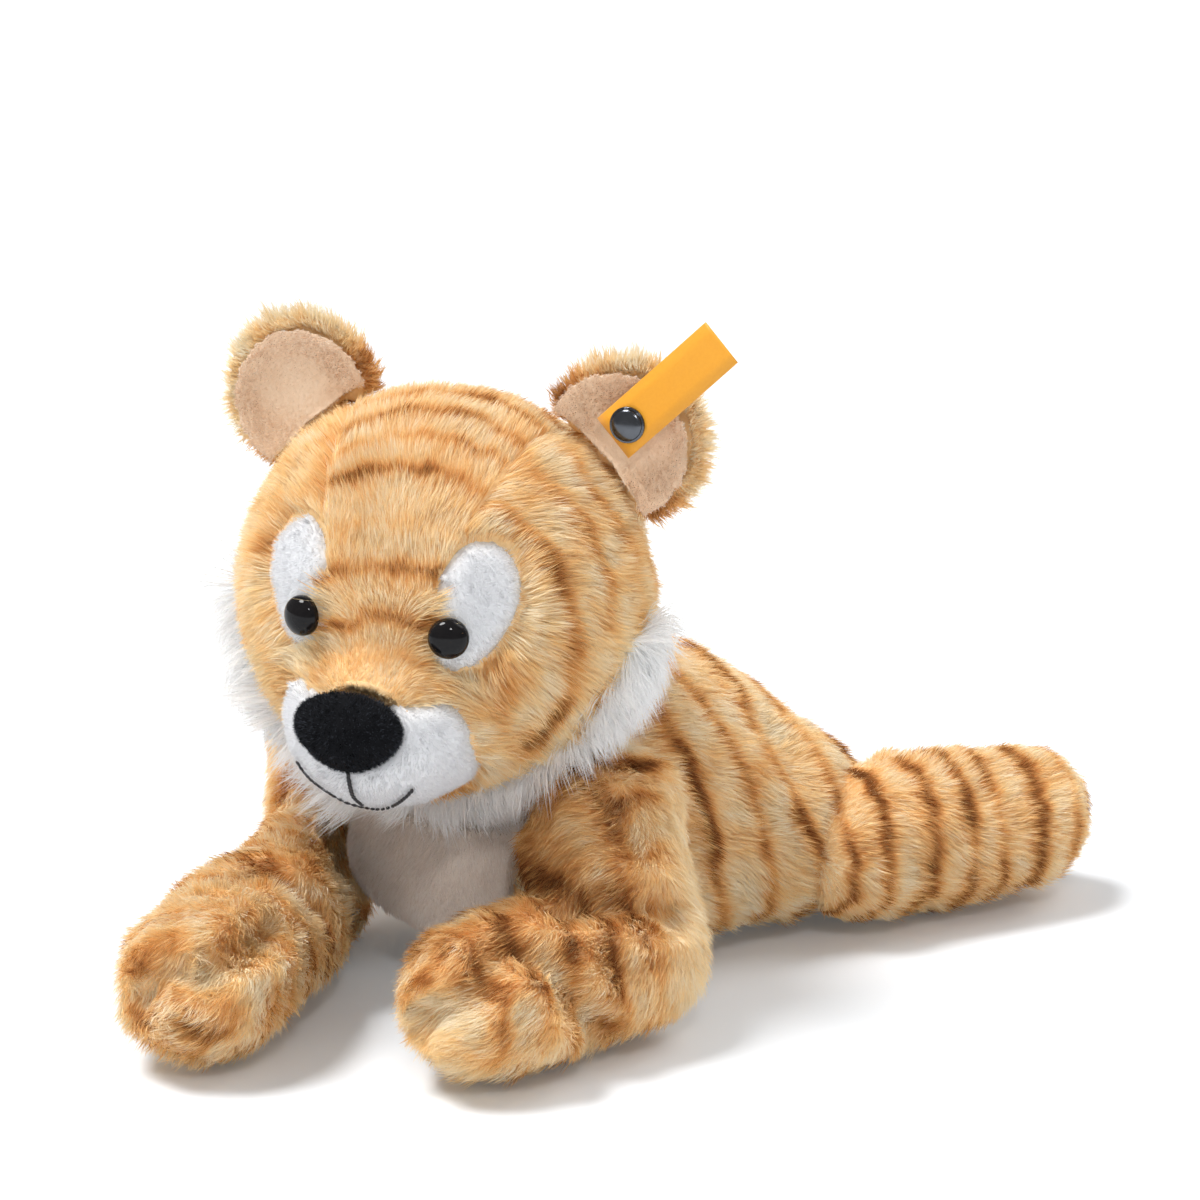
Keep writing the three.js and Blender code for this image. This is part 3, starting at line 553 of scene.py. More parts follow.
def addCatchLamp():                         # the bright spot in the eyes
    data = bpy.data.lights.new("catchLamp", "AREA")
    data.shape = "DISK"
    data.size = studio["catchSize"]
    data.energy = studio["catch"]
    lamp = bpy.data.objects.new("catchLamp", data)
    lamp.location = studio["catchAt"]
    away = Vector(studio["catchAim"]) - Vector(studio["catchAt"])
    lamp.rotation_euler = away.to_track_quat("-Z", "Y").to_euler()
    scene.collection.objects.link(lamp)


def addSun(name, power, spread, towards):
    data = bpy.data.lights.new(name, "SUN")
    data.energy = power
    data.angle = math.radians(spread)
    sun = bpy.data.objects.new(name, data)
    sun.rotation_euler = Vector(towards).to_track_quat("Z", "Y").to_euler()
    scene.collection.objects.link(sun)


def addStage():
    bm = bmesh.new()
    bmesh.ops.create_grid(bm, x_segments=1, y_segments=1, size=4.0)
    floor = fromBmesh("floor", bm, floorFinish(), smooth=False)
    floor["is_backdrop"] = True
    addSun("keySun", studio["sun"], studio["sunSpread"], studio["sunFrom"])
    addSun("rimSun", studio["rim"], studio["rimSpread"], studio["rimFrom"])
    addCatchLamp()
    world = bpy.data.worlds.new("world")
    scene.world = world
    world.use_nodes = True
    tree = world.node_tree
    path = tree.nodes.new("ShaderNodeLightPath")
    strength = tree.nodes.new("ShaderNodeMapRange")
    strength.inputs["To Min"].default_value = studio["world"]
    strength.inputs["To Max"].default_value = 1.0
    tree.links.new(path.outputs["Is Camera Ray"], strength.inputs["Value"])
    sky = tree.nodes["Background"]
    sky.inputs["Color"].default_value = (1, 1, 1, 1)
    tree.links.new(strength.outputs[0], sky.inputs["Strength"])


def floorFinish():
    finish = Finish("studioFloor")
    finish.set(Base_Color=(0.87, 0.9, 0.93), Roughness=1.0, Specular_IOR_Level=0.0)
    glow = finish.node("ShaderNodeEmission", Color=(1.0, 1.0, 1.0), Strength=1.1)
    finish.mixShader(finish.node("ShaderNodeLightPath", output="Is Camera Ray") * studio["floorGlow"], glow)
    return finish.material


addCamera()
addStage()
scene.view_settings.view_transform = "Standard"
print("camera and studio ready")

# Head: one stuffed form, with a panel of pile or plush for each sewn piece

skin = {"furDepth": 3.8, "plushDepth": 1.0, "seamDepth": 1.6, "voxel": 2.0, "rounds": 6, "neckPlug": 27,
        "cloth": 0.8, "fillingDepth": 7.0}
headPanels = {"head_centre_panel": "fur", "head_side_left": "fur", "head_side_right": "fur",
              "eye_patch_left": "plush", "eye_patch_right": "plush", "muzzle_panel": "plush"}


def evened(mesh, values, rounds):           # the mean with the neighbours, several times over
    edges = np.empty(len(mesh.edges) * 2, int)
    mesh.edges.foreach_get("vertices", edges)
    a, b = edges.reshape(-1, 2).T
    values = values.astype(float)
    for _ in range(rounds):
        total, near = values.copy(), np.ones(len(values))
        np.add.at(total, a, values[b])
        np.add.at(total, b, values[a])
        np.add.at(near, a, 1)
        np.add.at(near, b, 1)
        values = total / near
    return values


def panelShares(mesh, nodes):               # a smooth field for each sewn panel, 1 on it and 0 off it
    owners = ownersOf(verticesOf(mesh), nodes)
    return {node: evened(mesh, owners == i, 6) for i, node in enumerate(nodes)}


def ownerOf(found, nodes):
    return np.argmax([found[node] for node in nodes], axis=0)


muzzleTop = -12.5                           # the cheeks' pile comes down over the muzzle panel to this height


def headPanelShares(form):
    shares = panelShares(form, list(headPanels))
    across, _, height = toHead(verticesOf(form)).T
    above = shares["muzzle_panel"] * np.clip((height - muzzleTop) / 2 + 0.5, 0, 1)
    shares["muzzle_panel"] -= above
    for node, side in (("head_side_left", 1), ("head_side_right", -1)):
        shares[node] = shares[node] + above * (across * side > 0)
    return shares


headForm = stuffedForm("headForm", [*headPanels, "head_stuffing"], skin["voxel"], skin["rounds"],
                       [(jointAt["head_nod"], skin["neckPlug"])])
headShares = headPanelShares(headForm)
headOwners = ownerOf(headShares, list(headPanels))
headPlush = np.array([kind == "plush" for kind in headPanels.values()])[headOwners]
plushShare = evened(headForm, headPlush, 2)
headDepths = skin["furDepth"] + (skin["plushDepth"] - skin["furDepth"]) * plushShare
headDepths += skin["seamDepth"] * 4 * plushShare * (1 - plushShare)
headSkin = sunk(headForm, "headSkin", headDepths)
headTree = treeOf(headForm)


# The faces whose corners are kept, as cloth with an evened edge and a thickness
def sheetOf(name, mesh, kept, finish):
    def offPanel(face):
        return sum(bool(kept[vert.index]) for vert in face.verts) * 2 < len(face.verts)

    bm = bmesh.new()
    bm.from_mesh(mesh)
    bmesh.ops.delete(bm, geom=[face for face in bm.faces if offPanel(face)], context="FACES")
    rim = [edge for edge in bm.edges if edge.is_boundary]
    for _ in range(6):
        total = {}
        for edge in rim:
            for here, there in (tuple(edge.verts), tuple(edge.verts)[::-1]):
                total.setdefault(here, []).append(there.co.copy())
        for vert, near in total.items():
            vert.co = vert.co * 0.5 + sum(near, Vector()) * 0.5 / len(near)
    bm.normal_update()
    inner = {vert: bm.verts.new(vert.co - vert.normal * skin["cloth"] * mm) for vert in bm.verts[:]}
    for face in bm.faces[:]:
        bm.faces.new([inner[vert] for vert in reversed(face.verts)])
    for edge in rim:
        a, b = (loop.vert for loop in (edge.link_loops[0], edge.link_loops[0].link_loop_next))
        bm.faces.new((b, a, inner[a], inner[b]))
    return fromBmesh(name, bm, finish)


def addHeadCloth():
    names = list(headPanels)
    fur = mount(sheetOf("headFurCloth", headSkin, ~headPlush, "furBacking"), "head", "gold_fur", *names[:3])
    for node, piece in [("muzzle_panel", "muzzlePlush"), ("eye_patch_left", "eyePatchLeft"),
                        ("eye_patch_right", "eyePatchRight")]:
        kept = headOwners == names.index(node)
        plush = sheetOf(piece, headSkin, kept, "whiteBacking")
        mount(plush, "head", "white_plush", node)
    core = sunk(headForm, "headStuffing", skin["fillingDepth"])
    mount(addObject("headStuffing", core, "fibre"), "head", "fibre", "head_stuffing")


ruffSeat = {"sink": 4.2, "tuck": 0.8}       # how far the ruff's strip sits in, under the cheek's pile


def seatedRuff():
    form = stuffedForm("ruffForm", ["cheek_ruff"], 1.1, 2)
    outward = unit(verticesOf(form) - headCentre)
    inner = np.clip(-(outward * normalsOf(form)).sum(1), 0, 1)[:, None]
    moved = verticesOf(form) - outward * (ruffSeat["sink"] + ruffSeat["tuck"] * inner) * mm
    setVertices(form, moved, smooth=True)
    return form


ruffForm = seatedRuff()
ruffTree = treeOf(ruffForm)

# A coat's length and width in millimetres, its lean and bend in radians, how far its strands swirl and stray,
# how many share a lock and how firmly, how much their tones differ, and the share and length of the undercoat
faceFur = {"length": 6.8, "spread": 0.22, "width": 0.25, "lean": 0.8, "bend": 0.42, "swirl": 0.3,
           "stray": 0.16, "perLock": 20, "grip": 0.35, "tonal": 0.05, "perSquareMm": 10.0, "under": 0.72,
           "underLength": 0.78, "seed": 11}
plushNap = {"length": 1.3, "spread": 0.3, "width": 0.26, "lean": 0.5, "bend": 0.3, "swirl": 0.9,
            "stray": 0.5, "perLock": 9, "grip": 0.4, "tonal": 0.1, "perSquareMm": 9.0, "under": 1.0,
            "underLength": 1.0, "seed": 21}
# Each stripe's place, width and darkness: in degrees over the brow, in millimetres over the cheeks
browStripes = [(-5, 1.5, 0.35), (6, 2.0, 0.95), (21.5, 2.0, 0.9), (35, 1.2, 0.35), (52.5, 2.0, 0.85),
               (64.5, 1.4, 0.65), (77, 2.0, 0.75), (91, 2.0, 0.7), (105, 2.2, 0.7), (119, 2.2, 0.7),
               (134, 2.4, 0.7)]
cheekStripes = [(-38, 1.8, 0.3), (-26, 2.0, 0.6), (-13, 1.6, 0.45), (0, 1.9, 0.6), (13, 1.8, 0.55),
                (26, 1.9, 0.6)]
# The tone between the stripes, how they slant, bow and waver, and how dark and how even they are
browTones = {"base": 0.24, "mottle": 0.08, "slant": 0.2, "bow": 0.011, "waver": 1.6, "stripe": 0.85,
             "even": 0.75, "uneven": 0.35}
cheekTones = {"base": 0.27, "mottle": 0.12, "fleck": 0.08, "slant": 0.12, "waver": 2.5, "stripe": 0.85,
              "even": 0.7, "uneven": 0.5}


def striped(points, place, tone, stripes, tones, size, seed):
    for middle, width, dark in stripes:
        strength = tones["even"] + tones["uneven"] * waves(points, size, int(middle) + seed)
        tone += tones["stripe"] * dark * band(place, middle, width) * strength
    return tone


def browTone(points):
    x, y, z = toHead(points).T
    angle = np.degrees(np.arctan2(z, -y)) - browTones["slant"] * x + browTones["bow"] * x ** 2
    angle = angle + browTones["waver"] * waves(points, 9, 3)
    tone = browTones["base"] + browTones["mottle"] * waves(points, 16, 4)
    return striped(points, angle, tone, browStripes, browTones, 20, 50)


def cheekTone(points):
    _, y, z = toHead(points).T
    place = y + cheekTones["waver"] * waves(points, 17, 5) + cheekTones["slant"] * z
    tone = cheekTones["base"] + cheekTones["mottle"] * waves(points, 13, 6)
    tone = tone + cheekTones["fleck"] * waves(points, 5, 7)
    return striped(points, place, tone, cheekStripes, cheekTones, 24, 80)


def headWay(points, across, back, up):      # a way to brush, given in the head's own frame
    parts = [np.broadcast_to(part, len(points)) for part in (across, back, up)]
    return np.stack(parts, 1) @ headAxes.T


def browBrush(points, normals):
    x, y, z = toHead(points).T
    size = np.hypot(y, z)
    outward = 0.05 * np.sign(x) + 2.2 * np.clip(x / 12, -1, 1) ** 3 * (z < 12)
    return headWay(points, outward, z / size, -y / size)


def middleOf(node):
    return np.mean(np.array(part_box(node)), axis=0)


# How far round each white panel the cheek's pile is brushed away from it
parting = {"eye_patch_left": 24, "eye_patch_right": 24, "muzzle_panel": 38}
whiteMiddles = {node: middleOf(node) for node in parting}


def cheekBrush(points, normals):
    x = toHead(points)[:, 0]
    way = headWay(points, 0.2 * np.sign(x), 0.85, -0.5)
    for node, reach in parting.items():
        apart = points - whiteMiddles[node]
        near = np.clip(1.6 - 1.6 * np.linalg.norm(apart, axis=1) / (reach * mm), 0, 1)[:, None]
        way = way * (1 - near) + unit(apart) * near
    return way


def napBrush(points, normals):
    x = toHead(points)[:, 0]
    return headWay(points, np.sign(x) * 0.6, 0.2, -0.8)


def evenTone(points):
    return 0.35 + 0.12 * waves(points, 8, 9)


def toEyes(points):                         # how far each point is from the nearer eye, in metres
    return np.min([np.linalg.norm(points - eye["seat"], axis=1) for eye in eyeSeats.values()], axis=0)


# The pile is short by the nose, long where it falls over the eyes, and none grows under the neck or the ruff
facePile = {"shortest": 0.4, "shortTo": 12, "growsOver": 24, "brow": 0.85, "overEye": 0.9, "furFromEye": 4.7,
            "napFromEye": 5.1, "neckOverlap": 6, "ruffGap": 0.3}


def addHeadFur():
    co = verticesOf(headSkin)
    neckReach = (skin["neckPlug"] - facePile["neckOverlap"]) * mm
    bare = np.linalg.norm(co - jointAt["head_nod"], axis=1) < neckReach
    bare |= depthIn(co, ruffTree) > -facePile["ruffGap"] * mm
    found = scatter(headSkin, faceFur["perSquareMm"], faceFur["seed"], {**headShares, "growth": 1.0 - bare})
    away = np.linalg.norm(found["point"] - middleOf("nose_pad"), axis=1) / mm
    least = facePile["shortest"]
    reach = np.clip(least + 0.6 * (away - facePile["shortTo"]) / facePile["growsOver"], least, 1.0)
    owner = ownerOf(found, list(headPanels))
    toEye = toEyes(found["point"]) / mm
    brow = reach * facePile["brow"] + facePile["overEye"] * band(toEye, 6, 3)
    found["reach"] = np.where(owner == 0, brow, reach)
    clear = toEye >= facePile["furFromEye"]
    for index, piece, brush, tone in [(0, "browPile", browBrush, browTone),
                                      (1, "cheekPileLeft", cheekBrush, cheekTone),
                                      (2, "cheekPileRight", cheekBrush, cheekTone)]:
        coat = {**faceFur, "seed": faceFur["seed"] + index}
        pile = growPile(piece, chosenOf(found, (owner == index) & clear), coat, brush, tone, "goldPile")
        mount(pile, "head", "gold_fur")


def addHeadNap():
    front = np.clip(-toHead(verticesOf(headSkin))[:, 1], 0, 1)
    fields = {**headShares, "growth": front * plushShare}
    found = scatter(headSkin, plushNap["perSquareMm"], plushNap["seed"], fields)
    owner = ownerOf(found, list(headPanels))
    eyes = toEyes(found["point"]) < facePile["napFromEye"] * mm
    for index, piece in [(3, "eyePatchNapLeft"), (4, "eyePatchNapRight"), (5, "muzzleNap")]:
        coat = {**plushNap, "seed": plushNap["seed"] + index}
        nap = growPile(piece, chosenOf(found, (owner == index) & ~eyes), coat, napBrush, evenTone, "whiteNap")
        mount(nap, "head", "white_plush")


# Eyes: glossy domes on shanks, each found from its CAD node's poles

def polesOf(node):
    co = verticesOf(frame["nodes"][node].data)
    far = np.linalg.norm(co - co.mean(0), axis=1)
    foot = co[far > far.max() - 0.3 * mm].mean(0)
    top = co[np.linalg.norm(co - foot, axis=1).argmax()]
    return foot, top, unit(top - foot)


eyeShape = {"diameter": 10, "rise": 4.2, "rim": 1.0, "shankDiameter": 3.4, "shankLength": 8.4, "sink": 0.6}
eyeSeats = {}
for side in ("left", "right"):
    _, top, axis = polesOf("eye_" + side)
    eyeSeats[side] = {"seat": top - axis * (eyeShape["rise"] + eyeShape["sink"]) * mm, "axis": axis}


# A profile of radius and height, turned about an axis
def spun(name, profile, seat, axis, finish, steps=48):
    bm = bmesh.new()
    verts = [bm.verts.new((radius * mm, 0, height * mm)) for radius, height in profile]
    edges = [bm.edges.new(pair) for pair in zip(verts, verts[1:])]
    bmesh.ops.spin(bm, geom=verts + edges, cent=(0, 0, 0), axis=(0, 0, 1), angle=2 * math.pi, steps=steps,
                   use_merge=True)
    bmesh.ops.remove_doubles(bm, verts=bm.verts, dist=weld)
    bmesh.ops.recalc_face_normals(bm, faces=bm.faces)
    turn = Vector((0, 0, 1)).rotation_difference(Vector(axis)).to_matrix().to_4x4()
    bmesh.ops.transform(bm, matrix=Matrix.Translation(Vector(seat)) @ turn, verts=bm.verts)
    return fromBmesh(name, bm, finish)


def eyeFinish():
    finish = Finish("eyeGloss")
    wear = finish.noise(420.0, 4.0)
    finish.set(Base_Color=finish.blendColours(wear, (0.004, 0.004, 0.005), (0.012, 0.01, 0.01)),
               Roughness=wear * 0.03 + 0.035, Specular_IOR_Level=0.18)
    return finish.material


def addEyes():
    gloss = eyeFinish()
    radius, rise, rim = eyeShape["diameter"] / 2, eyeShape["rise"], eyeShape["rim"]
    dome = [(radius * math.sin(t), (rise - rim) * math.cos(t) + rim) for t in np.linspace(0, math.pi / 2, 14)]
    shank, foot = eyeShape["shankDiameter"] / 2, -eyeShape["shankLength"]
    profile = dome + [(radius, 0.3), (radius - 0.3, 0), (shank, 0), (shank, foot), (0, foot)]
    for side, eye in eyeSeats.items():
        made = spun("eyeDome" + side.title(), profile, eye["seat"], eye["axis"], gloss)
        mount(made, "head", "black_gloss", "eye_" + side)


# Nose: a padded pad of black fleece, broad above and narrower below

nosePad = {"width": 27, "depth": 15, "height": 19, "taper": 0.16, "squash": 0.12}
noseNap = {**plushNap, "length": 1.0, "spread": 0.4, "lean": 0.6, "bend": 0.4, "swirl": 1.2, "stray": 0.9,
           "perLock": 6, "grip": 0.6, "tonal": 0.32, "perSquareMm": 8.0, "seed": 31}


def addNose():
    bm = bmesh.new()
    bmesh.ops.create_uvsphere(bm, u_segments=48, v_segments=32, radius=0.5)
    for vert in bm.verts:
        x, y, z = vert.co
        wide = 1 + nosePad["taper"] * (2 * z) - nosePad["squash"] * max(-2 * z, 0) ** 2
        vert.co = Vector((x * nosePad["width"] * wide, y * nosePad["depth"], z * nosePad["height"])) * mm
    place = Matrix.Translation(Vector(middleOf("nose_pad")))
    bmesh.ops.transform(bm, matrix=place @ headTurn.to_4x4(), verts=bm.verts)
    inOrder(bm)
    pad = fromBmesh("nosePad", bm, "fleeceBacking")
    mount(pad, "head", "black_fleece", "nose_pad")
    found = scatter(pad.data, noseNap["perSquareMm"], noseNap["seed"])
    mount(growPile("nosePile", found, noseNap, napBrush, evenTone, "fleece"), "head", "black_fleece")


# Mouth: one embroidered line down from the nose and a smile across, laid on the muzzle

mouth = {"top": -27, "middle": -42.2, "reach": 15, "lift": 10.5, "thread": 1.1, "stitch": 2.2, "step": 0.9,
         "slant": 0.5, "points": 21}


def onMuzzle(x, z):                         # where a line from straight ahead meets the muzzle
    start = Vector(fromHead((x, -120, z)))
    backwards = Vector(headAxes @ np.array((0, 1, 0)))
    spot, normal, _, _ = muzzleTree.ray_cast(start, backwards)
    return spot, normal


def stitchedLine(bm, path):
    places = []
    for (x0, z0), (x1, z1) in zip(path, path[1:]):
        pieces = max(int(math.hypot(x1 - x0, z1 - z0) / mouth["step"]), 1)
        places += [(x0 + (x1 - x0) * i / pieces, z0 + (z1 - z0) * i / pieces) for i in range(pieces)]
    spots = [onMuzzle(x, z) for x, z in places]
    for (here, normal), (there, _) in zip(spots, spots[1:]):
        ahead = (there - here).normalized()
        slanted = (ahead + normal.cross(ahead) * mouth["slant"]).normalized()
        size = Matrix.Diagonal((mouth["stitch"] * mm, mouth["thread"] * mm, mouth["thread"] * 0.7 * mm, 1))
        turn = Matrix((slanted, normal.cross(slanted).normalized(), normal)).transposed().to_4x4()
        lift = here + normal * plushNap["length"] * 0.8 * mm
        place = Matrix.Translation(lift) @ turn @ size
        bmesh.ops.create_icosphere(bm, subdivisions=1, radius=0.5, matrix=place)


def threadFinish():
    finish = Finish("mouthThread")
    twist = finish.node("ShaderNodeTexWave", {"bands_direction": "DIAGONAL"}, Vector=finish.place(),
                        Scale=1400.0)
    colour = finish.blendColours(twist, (0.006, 0.006, 0.007), (0.03, 0.03, 0.034))
    finish.set(Base_Color=colour, Roughness=0.55, Normal=finish.bump(twist, 0.4, 0.0002))
    return finish.material


def addMouth():
    bm = bmesh.new()
    smile = [(x, mouth["middle"] + mouth["lift"] * (x / mouth["reach"]) ** 2)
             for x in np.linspace(-mouth["reach"], mouth["reach"], mouth["points"])]
    stitchedLine(bm, [(0, mouth["top"]), (0, mouth["middle"] + 0.4)])
    stitchedLine(bm, smile)
    mount(fromBmesh("mouthStitches", bm, threadFinish()), "head", "black_fleece")


addHeadCloth()
muzzleTree = treeOf(headSkin)
addEyes()
addHeadFur()
addHeadNap()
addNose()
addMouth()
print("head made")

# Ruff: long white pile round the jaw

ruffPile = {"length": 13, "spread": 0.4, "width": 0.3, "lean": 0.85, "bend": 0.3, "swirl": 0.6, "stray": 0.25,
            "perLock": 40, "grip": 0.6, "tonal": 0.08, "perSquareMm": 9.0, "under": 0.35, "underLength": 0.6,
            "seed": 41}
# The far cheek's pile stands off further, and is longer from this far across
ruffStand = {"lean": 0.5, "bend": 0.6}
ruffFar = {"across": -12, "reach": 1.4}


def ruffBrush(points, normals):
    x = toHead(points)[:, 0]
    return headWay(points, np.where(x < 0, -0.75, 0.3), 0.25, -0.8)


def addRuff():
    inward = np.clip(-(unit(verticesOf(ruffForm) - headCentre) * normalsOf(ruffForm)).sum(1), 0, 1)
    strip = addObject("ruffCloth", ruffForm, "whiteBacking")
    mount(strip, "head", "pale_fur", "cheek_ruff")
    found = scatter(ruffForm, ruffPile["perSquareMm"], ruffPile["seed"], {"growth": (inward < 0.2) * 1.0})
    across = toHead(found["point"])[:, 0]
    found["reach"] = np.where(across < ruffFar["across"], ruffFar["reach"], 1.0)
    for piece, use in [("ruffPileRight", across < 0), ("ruffPileLeft", across >= 0)]:
        stand = ruffStand if piece == "ruffPileRight" else {}
        coat = {**ruffPile, **stand, "seed": ruffPile["seed"] + len(piece)}
        pile = growPile(piece, chosenOf(found, use), coat, ruffBrush, evenTone, "whitePile")
        mount(pile, "head", "pale_fur")


addRuff()
print("ruff made")

# Ears: plush fronts and long-haired backs, each with a root that reaches the crown

earShape = {"outAngle": 45, "skull": (54.5, 50, 53.5), "y": 10, "seamLift": 1.5, "rise": 7, "rootPlug": 5.0,
            "rootSpread": 11, "cup": 17, "cupDepth": 2.4, "backDepth": 1.0, "frontDepth": 0.2, "rim": 16.0,
            "skullGap": 0.5}
earTones = {"base": 0.18, "root": 0.5, "rootReach": 9, "mottle": 0.12, "shortReach": 0.65}
earPile = {"length": 6.4, "spread": 0.35, "width": 0.3, "lean": 0.85, "bend": 0.4, "swirl": 0.6, "stray": 0.3,
           "perLock": 26, "grip": 0.5, "tonal": 0.06, "perSquareMm": 11.0, "under": 0.6, "underLength": 0.7,
           "seed": 51}
earNap = {**plushNap, "length": 1.2, "tonal": 0.16, "perSquareMm": 12.0, "seed": 61}


def earSeat(side):
    angle = math.radians(earShape["outAngle"])
    out = np.array([side * math.sin(angle), 0, math.cos(angle)])
    direction = unit(out * earShape["skull"][0] + np.array([0, earShape["y"], 0]))
    reach = 1 / np.linalg.norm(direction / np.array(earShape["skull"])) + earShape["seamLift"]
    along = np.array([side * math.cos(angle), 0, -math.sin(angle)])
    seam = direction * reach
    return {"out": headAxes @ out, "along": headAxes @ along, "forward": headAxes @ np.array([0, -1, 0]),
            "seam": fromHead(seam), "centre": fromHead(seam + out * earShape["rise"])}


def addEar(name, side):
    seat = earSeat(side)
    shifts = (-earShape["rootSpread"], 0, earShape["rootSpread"])
    plugs = [(seat["seam"] + seat["along"] * shift * mm, earShape["rootPlug"]) for shift in shifts]
    title = name.split("_")[1].title()
    backForm = stuffedForm("earBackForm" + title, [name + "_back"], 1.0, 4, plugs)
    frontForm = stuffedForm("earFrontForm" + title, [name + "_front"], 0.7, 3)
    for form in (backForm, frontForm):
        cupped(form, seat["centre"], seat["forward"])
    backing = sunk(backForm, "earBack" + title, earShape["backDepth"])
    back = addObject("earBack" + title, backing, "furBacking")
    mount(back, name, "gold_fur", name + "_back")
    sheet = sunk(frontForm, "earFront" + title, earShape["frontDepth"])
    front = addObject("earFront" + title, sheet, "beigeBacking")
    mount(front, name, "beige_plush", name + "_front")
    growEarPile(title, name, seat, back.data, front.data)


def cupped(form, centre, forward):          # the ear's face pressed in, deepest in the middle
    co = verticesOf(form)
    apart = co - centre
    apart -= (apart @ forward)[:, None] * forward
    deep = np.clip(1 - (np.linalg.norm(apart, axis=1) / (earShape["cup"] * mm)) ** 2, 0, 1)
    deep *= np.clip(normalsOf(form) @ forward * 2, 0, 1) * earShape["cupDepth"] * mm
    setVertices(form, co - deep[:, None] * forward)


def growEarPile(title, name, seat, back, front):
    def radial(points, normals):
        return unit(points - seat["centre"] + seat["out"] * 0.006) + 0.15 * seat["out"]

    def tone(points):
        height = (points - seat["seam"]) @ seat["out"] / mm
        root = earTones["root"] * band(height, 0, earTones["rootReach"])
        return earTones["base"] + root + earTones["mottle"] * waves(points, 9, 8)

    found = scatter(back, earPile["perSquareMm"], earPile["seed"])
    facing = found["normal"] @ seat["forward"]
    out = np.linalg.norm(found["point"] - seat["centre"], axis=1) / mm
    clear = depthIn(found["point"], headTree) < -earShape["skullGap"] * mm
    use = ((facing < 0.35) | (out > earShape["rim"])) & clear
    found["reach"] = np.where(facing > 0.2, earTones["shortReach"], 1.0)
    coat = {**earPile, "seed": earPile["seed"] + len(title)}
    pile = growPile("earPile" + title, chosenOf(found, use), coat, radial, tone, "goldPile")
    mount(pile, name, "gold_fur")
    found = scatter(front, earNap["perSquareMm"], earNap["seed"])
    coat = {**earNap, "seed": earNap["seed"] + len(title)}
    frontSide = chosenOf(found, found["normal"] @ seat["forward"] > -0.2)
    nap = growPile("earNap" + title, frontSide, coat, radial, evenTone, "beigeNap")
    mount(nap, name, "beige_plush")


addEar("ear_left", 1)
addEar("ear_right", -1)
print("ears made")

# Rivet and ribbon tag on the left ear, both without marks

rivetShape = {"diameter": 9, "rise": 1.9, "rim": 0.8, "post": 2.4, "dish": 0.25, "dome": 0.86, "lip": 0.9,
              "lipTop": 0.96}
ribbon = {"width": 12.5, "length": 38.5, "overhang": 5.5, "thickness": 0.4, "gap": 1.0, "tilt": 46,
          "curl": 1.2, "underCap": 0.4, "rows": 14, "foldRows": 7}


def metalFinish():
    finish = Finish("darkMetal")
    wear = finish.noise(900.0, 5.0)
    finish.set(Base_Color=finish.blendColours(wear, hexColour("#505257"), hexColour("#66686c")), Metallic=1.0,
               Roughness=wear * 0.12 + 0.12)
    return finish.material


def satinFinish():
    finish = Finish("tagSatin")
    place = finish.place()
    weave = finish.node("ShaderNodeTexWave", {"bands_direction": "Z"}, Vector=place, Scale=2200.0)
    fibre = finish.noise(1600.0, 3.0, place)
    colour = finish.blendColours(weave * 0.5 + fibre * 0.5, hexColour("#e8960f"), hexColour("#f7b02a"))
    finish.set(Base_Color=colour, Roughness=fibre * 0.15 + 0.38, Sheen_Weight=0.25, Anisotropic=0.4,
               Normal=finish.bump(weave, 0.25, 0.0001))
    return finish.material


def addRivet():
    foot, top, axis = polesOf("tag_rivet")
    radius, rim, rise = rivetShape["diameter"] / 2, rivetShape["rim"], rivetShape["rise"]
    seat = top - axis * rise * mm
    dome = [(radius * rivetShape["dome"] * math.sin(t), (rise - rim) * math.cos(t) + rim)
            for t in np.linspace(0, math.pi / 2, 12)]
    lip = [(radius * rivetShape["lip"], rim - rivetShape["dish"]), (radius * rivetShape["lipTop"], rim),
           (radius, rim * 0.6), (radius, 0.15), (radius - 0.15, 0)]
    post = float(np.linalg.norm(top - foot)) / mm - rise
    profile = dome + lip + [(rivetShape["post"] / 2, 0), (rivetShape["post"] / 2, -post), (0, -post)]
    mount(spun("rivetCap", profile, seat, axis, metal), "ear_left", "dark_metal", "tag_rivet")


def ribbonPath(far):                        # along the back layer, round the fold and along the front layer
    run = np.linspace(-ribbon["overhang"], far - 1, ribbon["rows"])
    fold = [(far - 1 + math.sin(t), ribbon["gap"] / 2 * (math.cos(t) - 1))
            for t in np.linspace(0, math.pi, ribbon["foldRows"])]
    return [(s, 0) for s in run[:-1]] + fold + [(s, -ribbon["gap"]) for s in run[::-1][1:]]


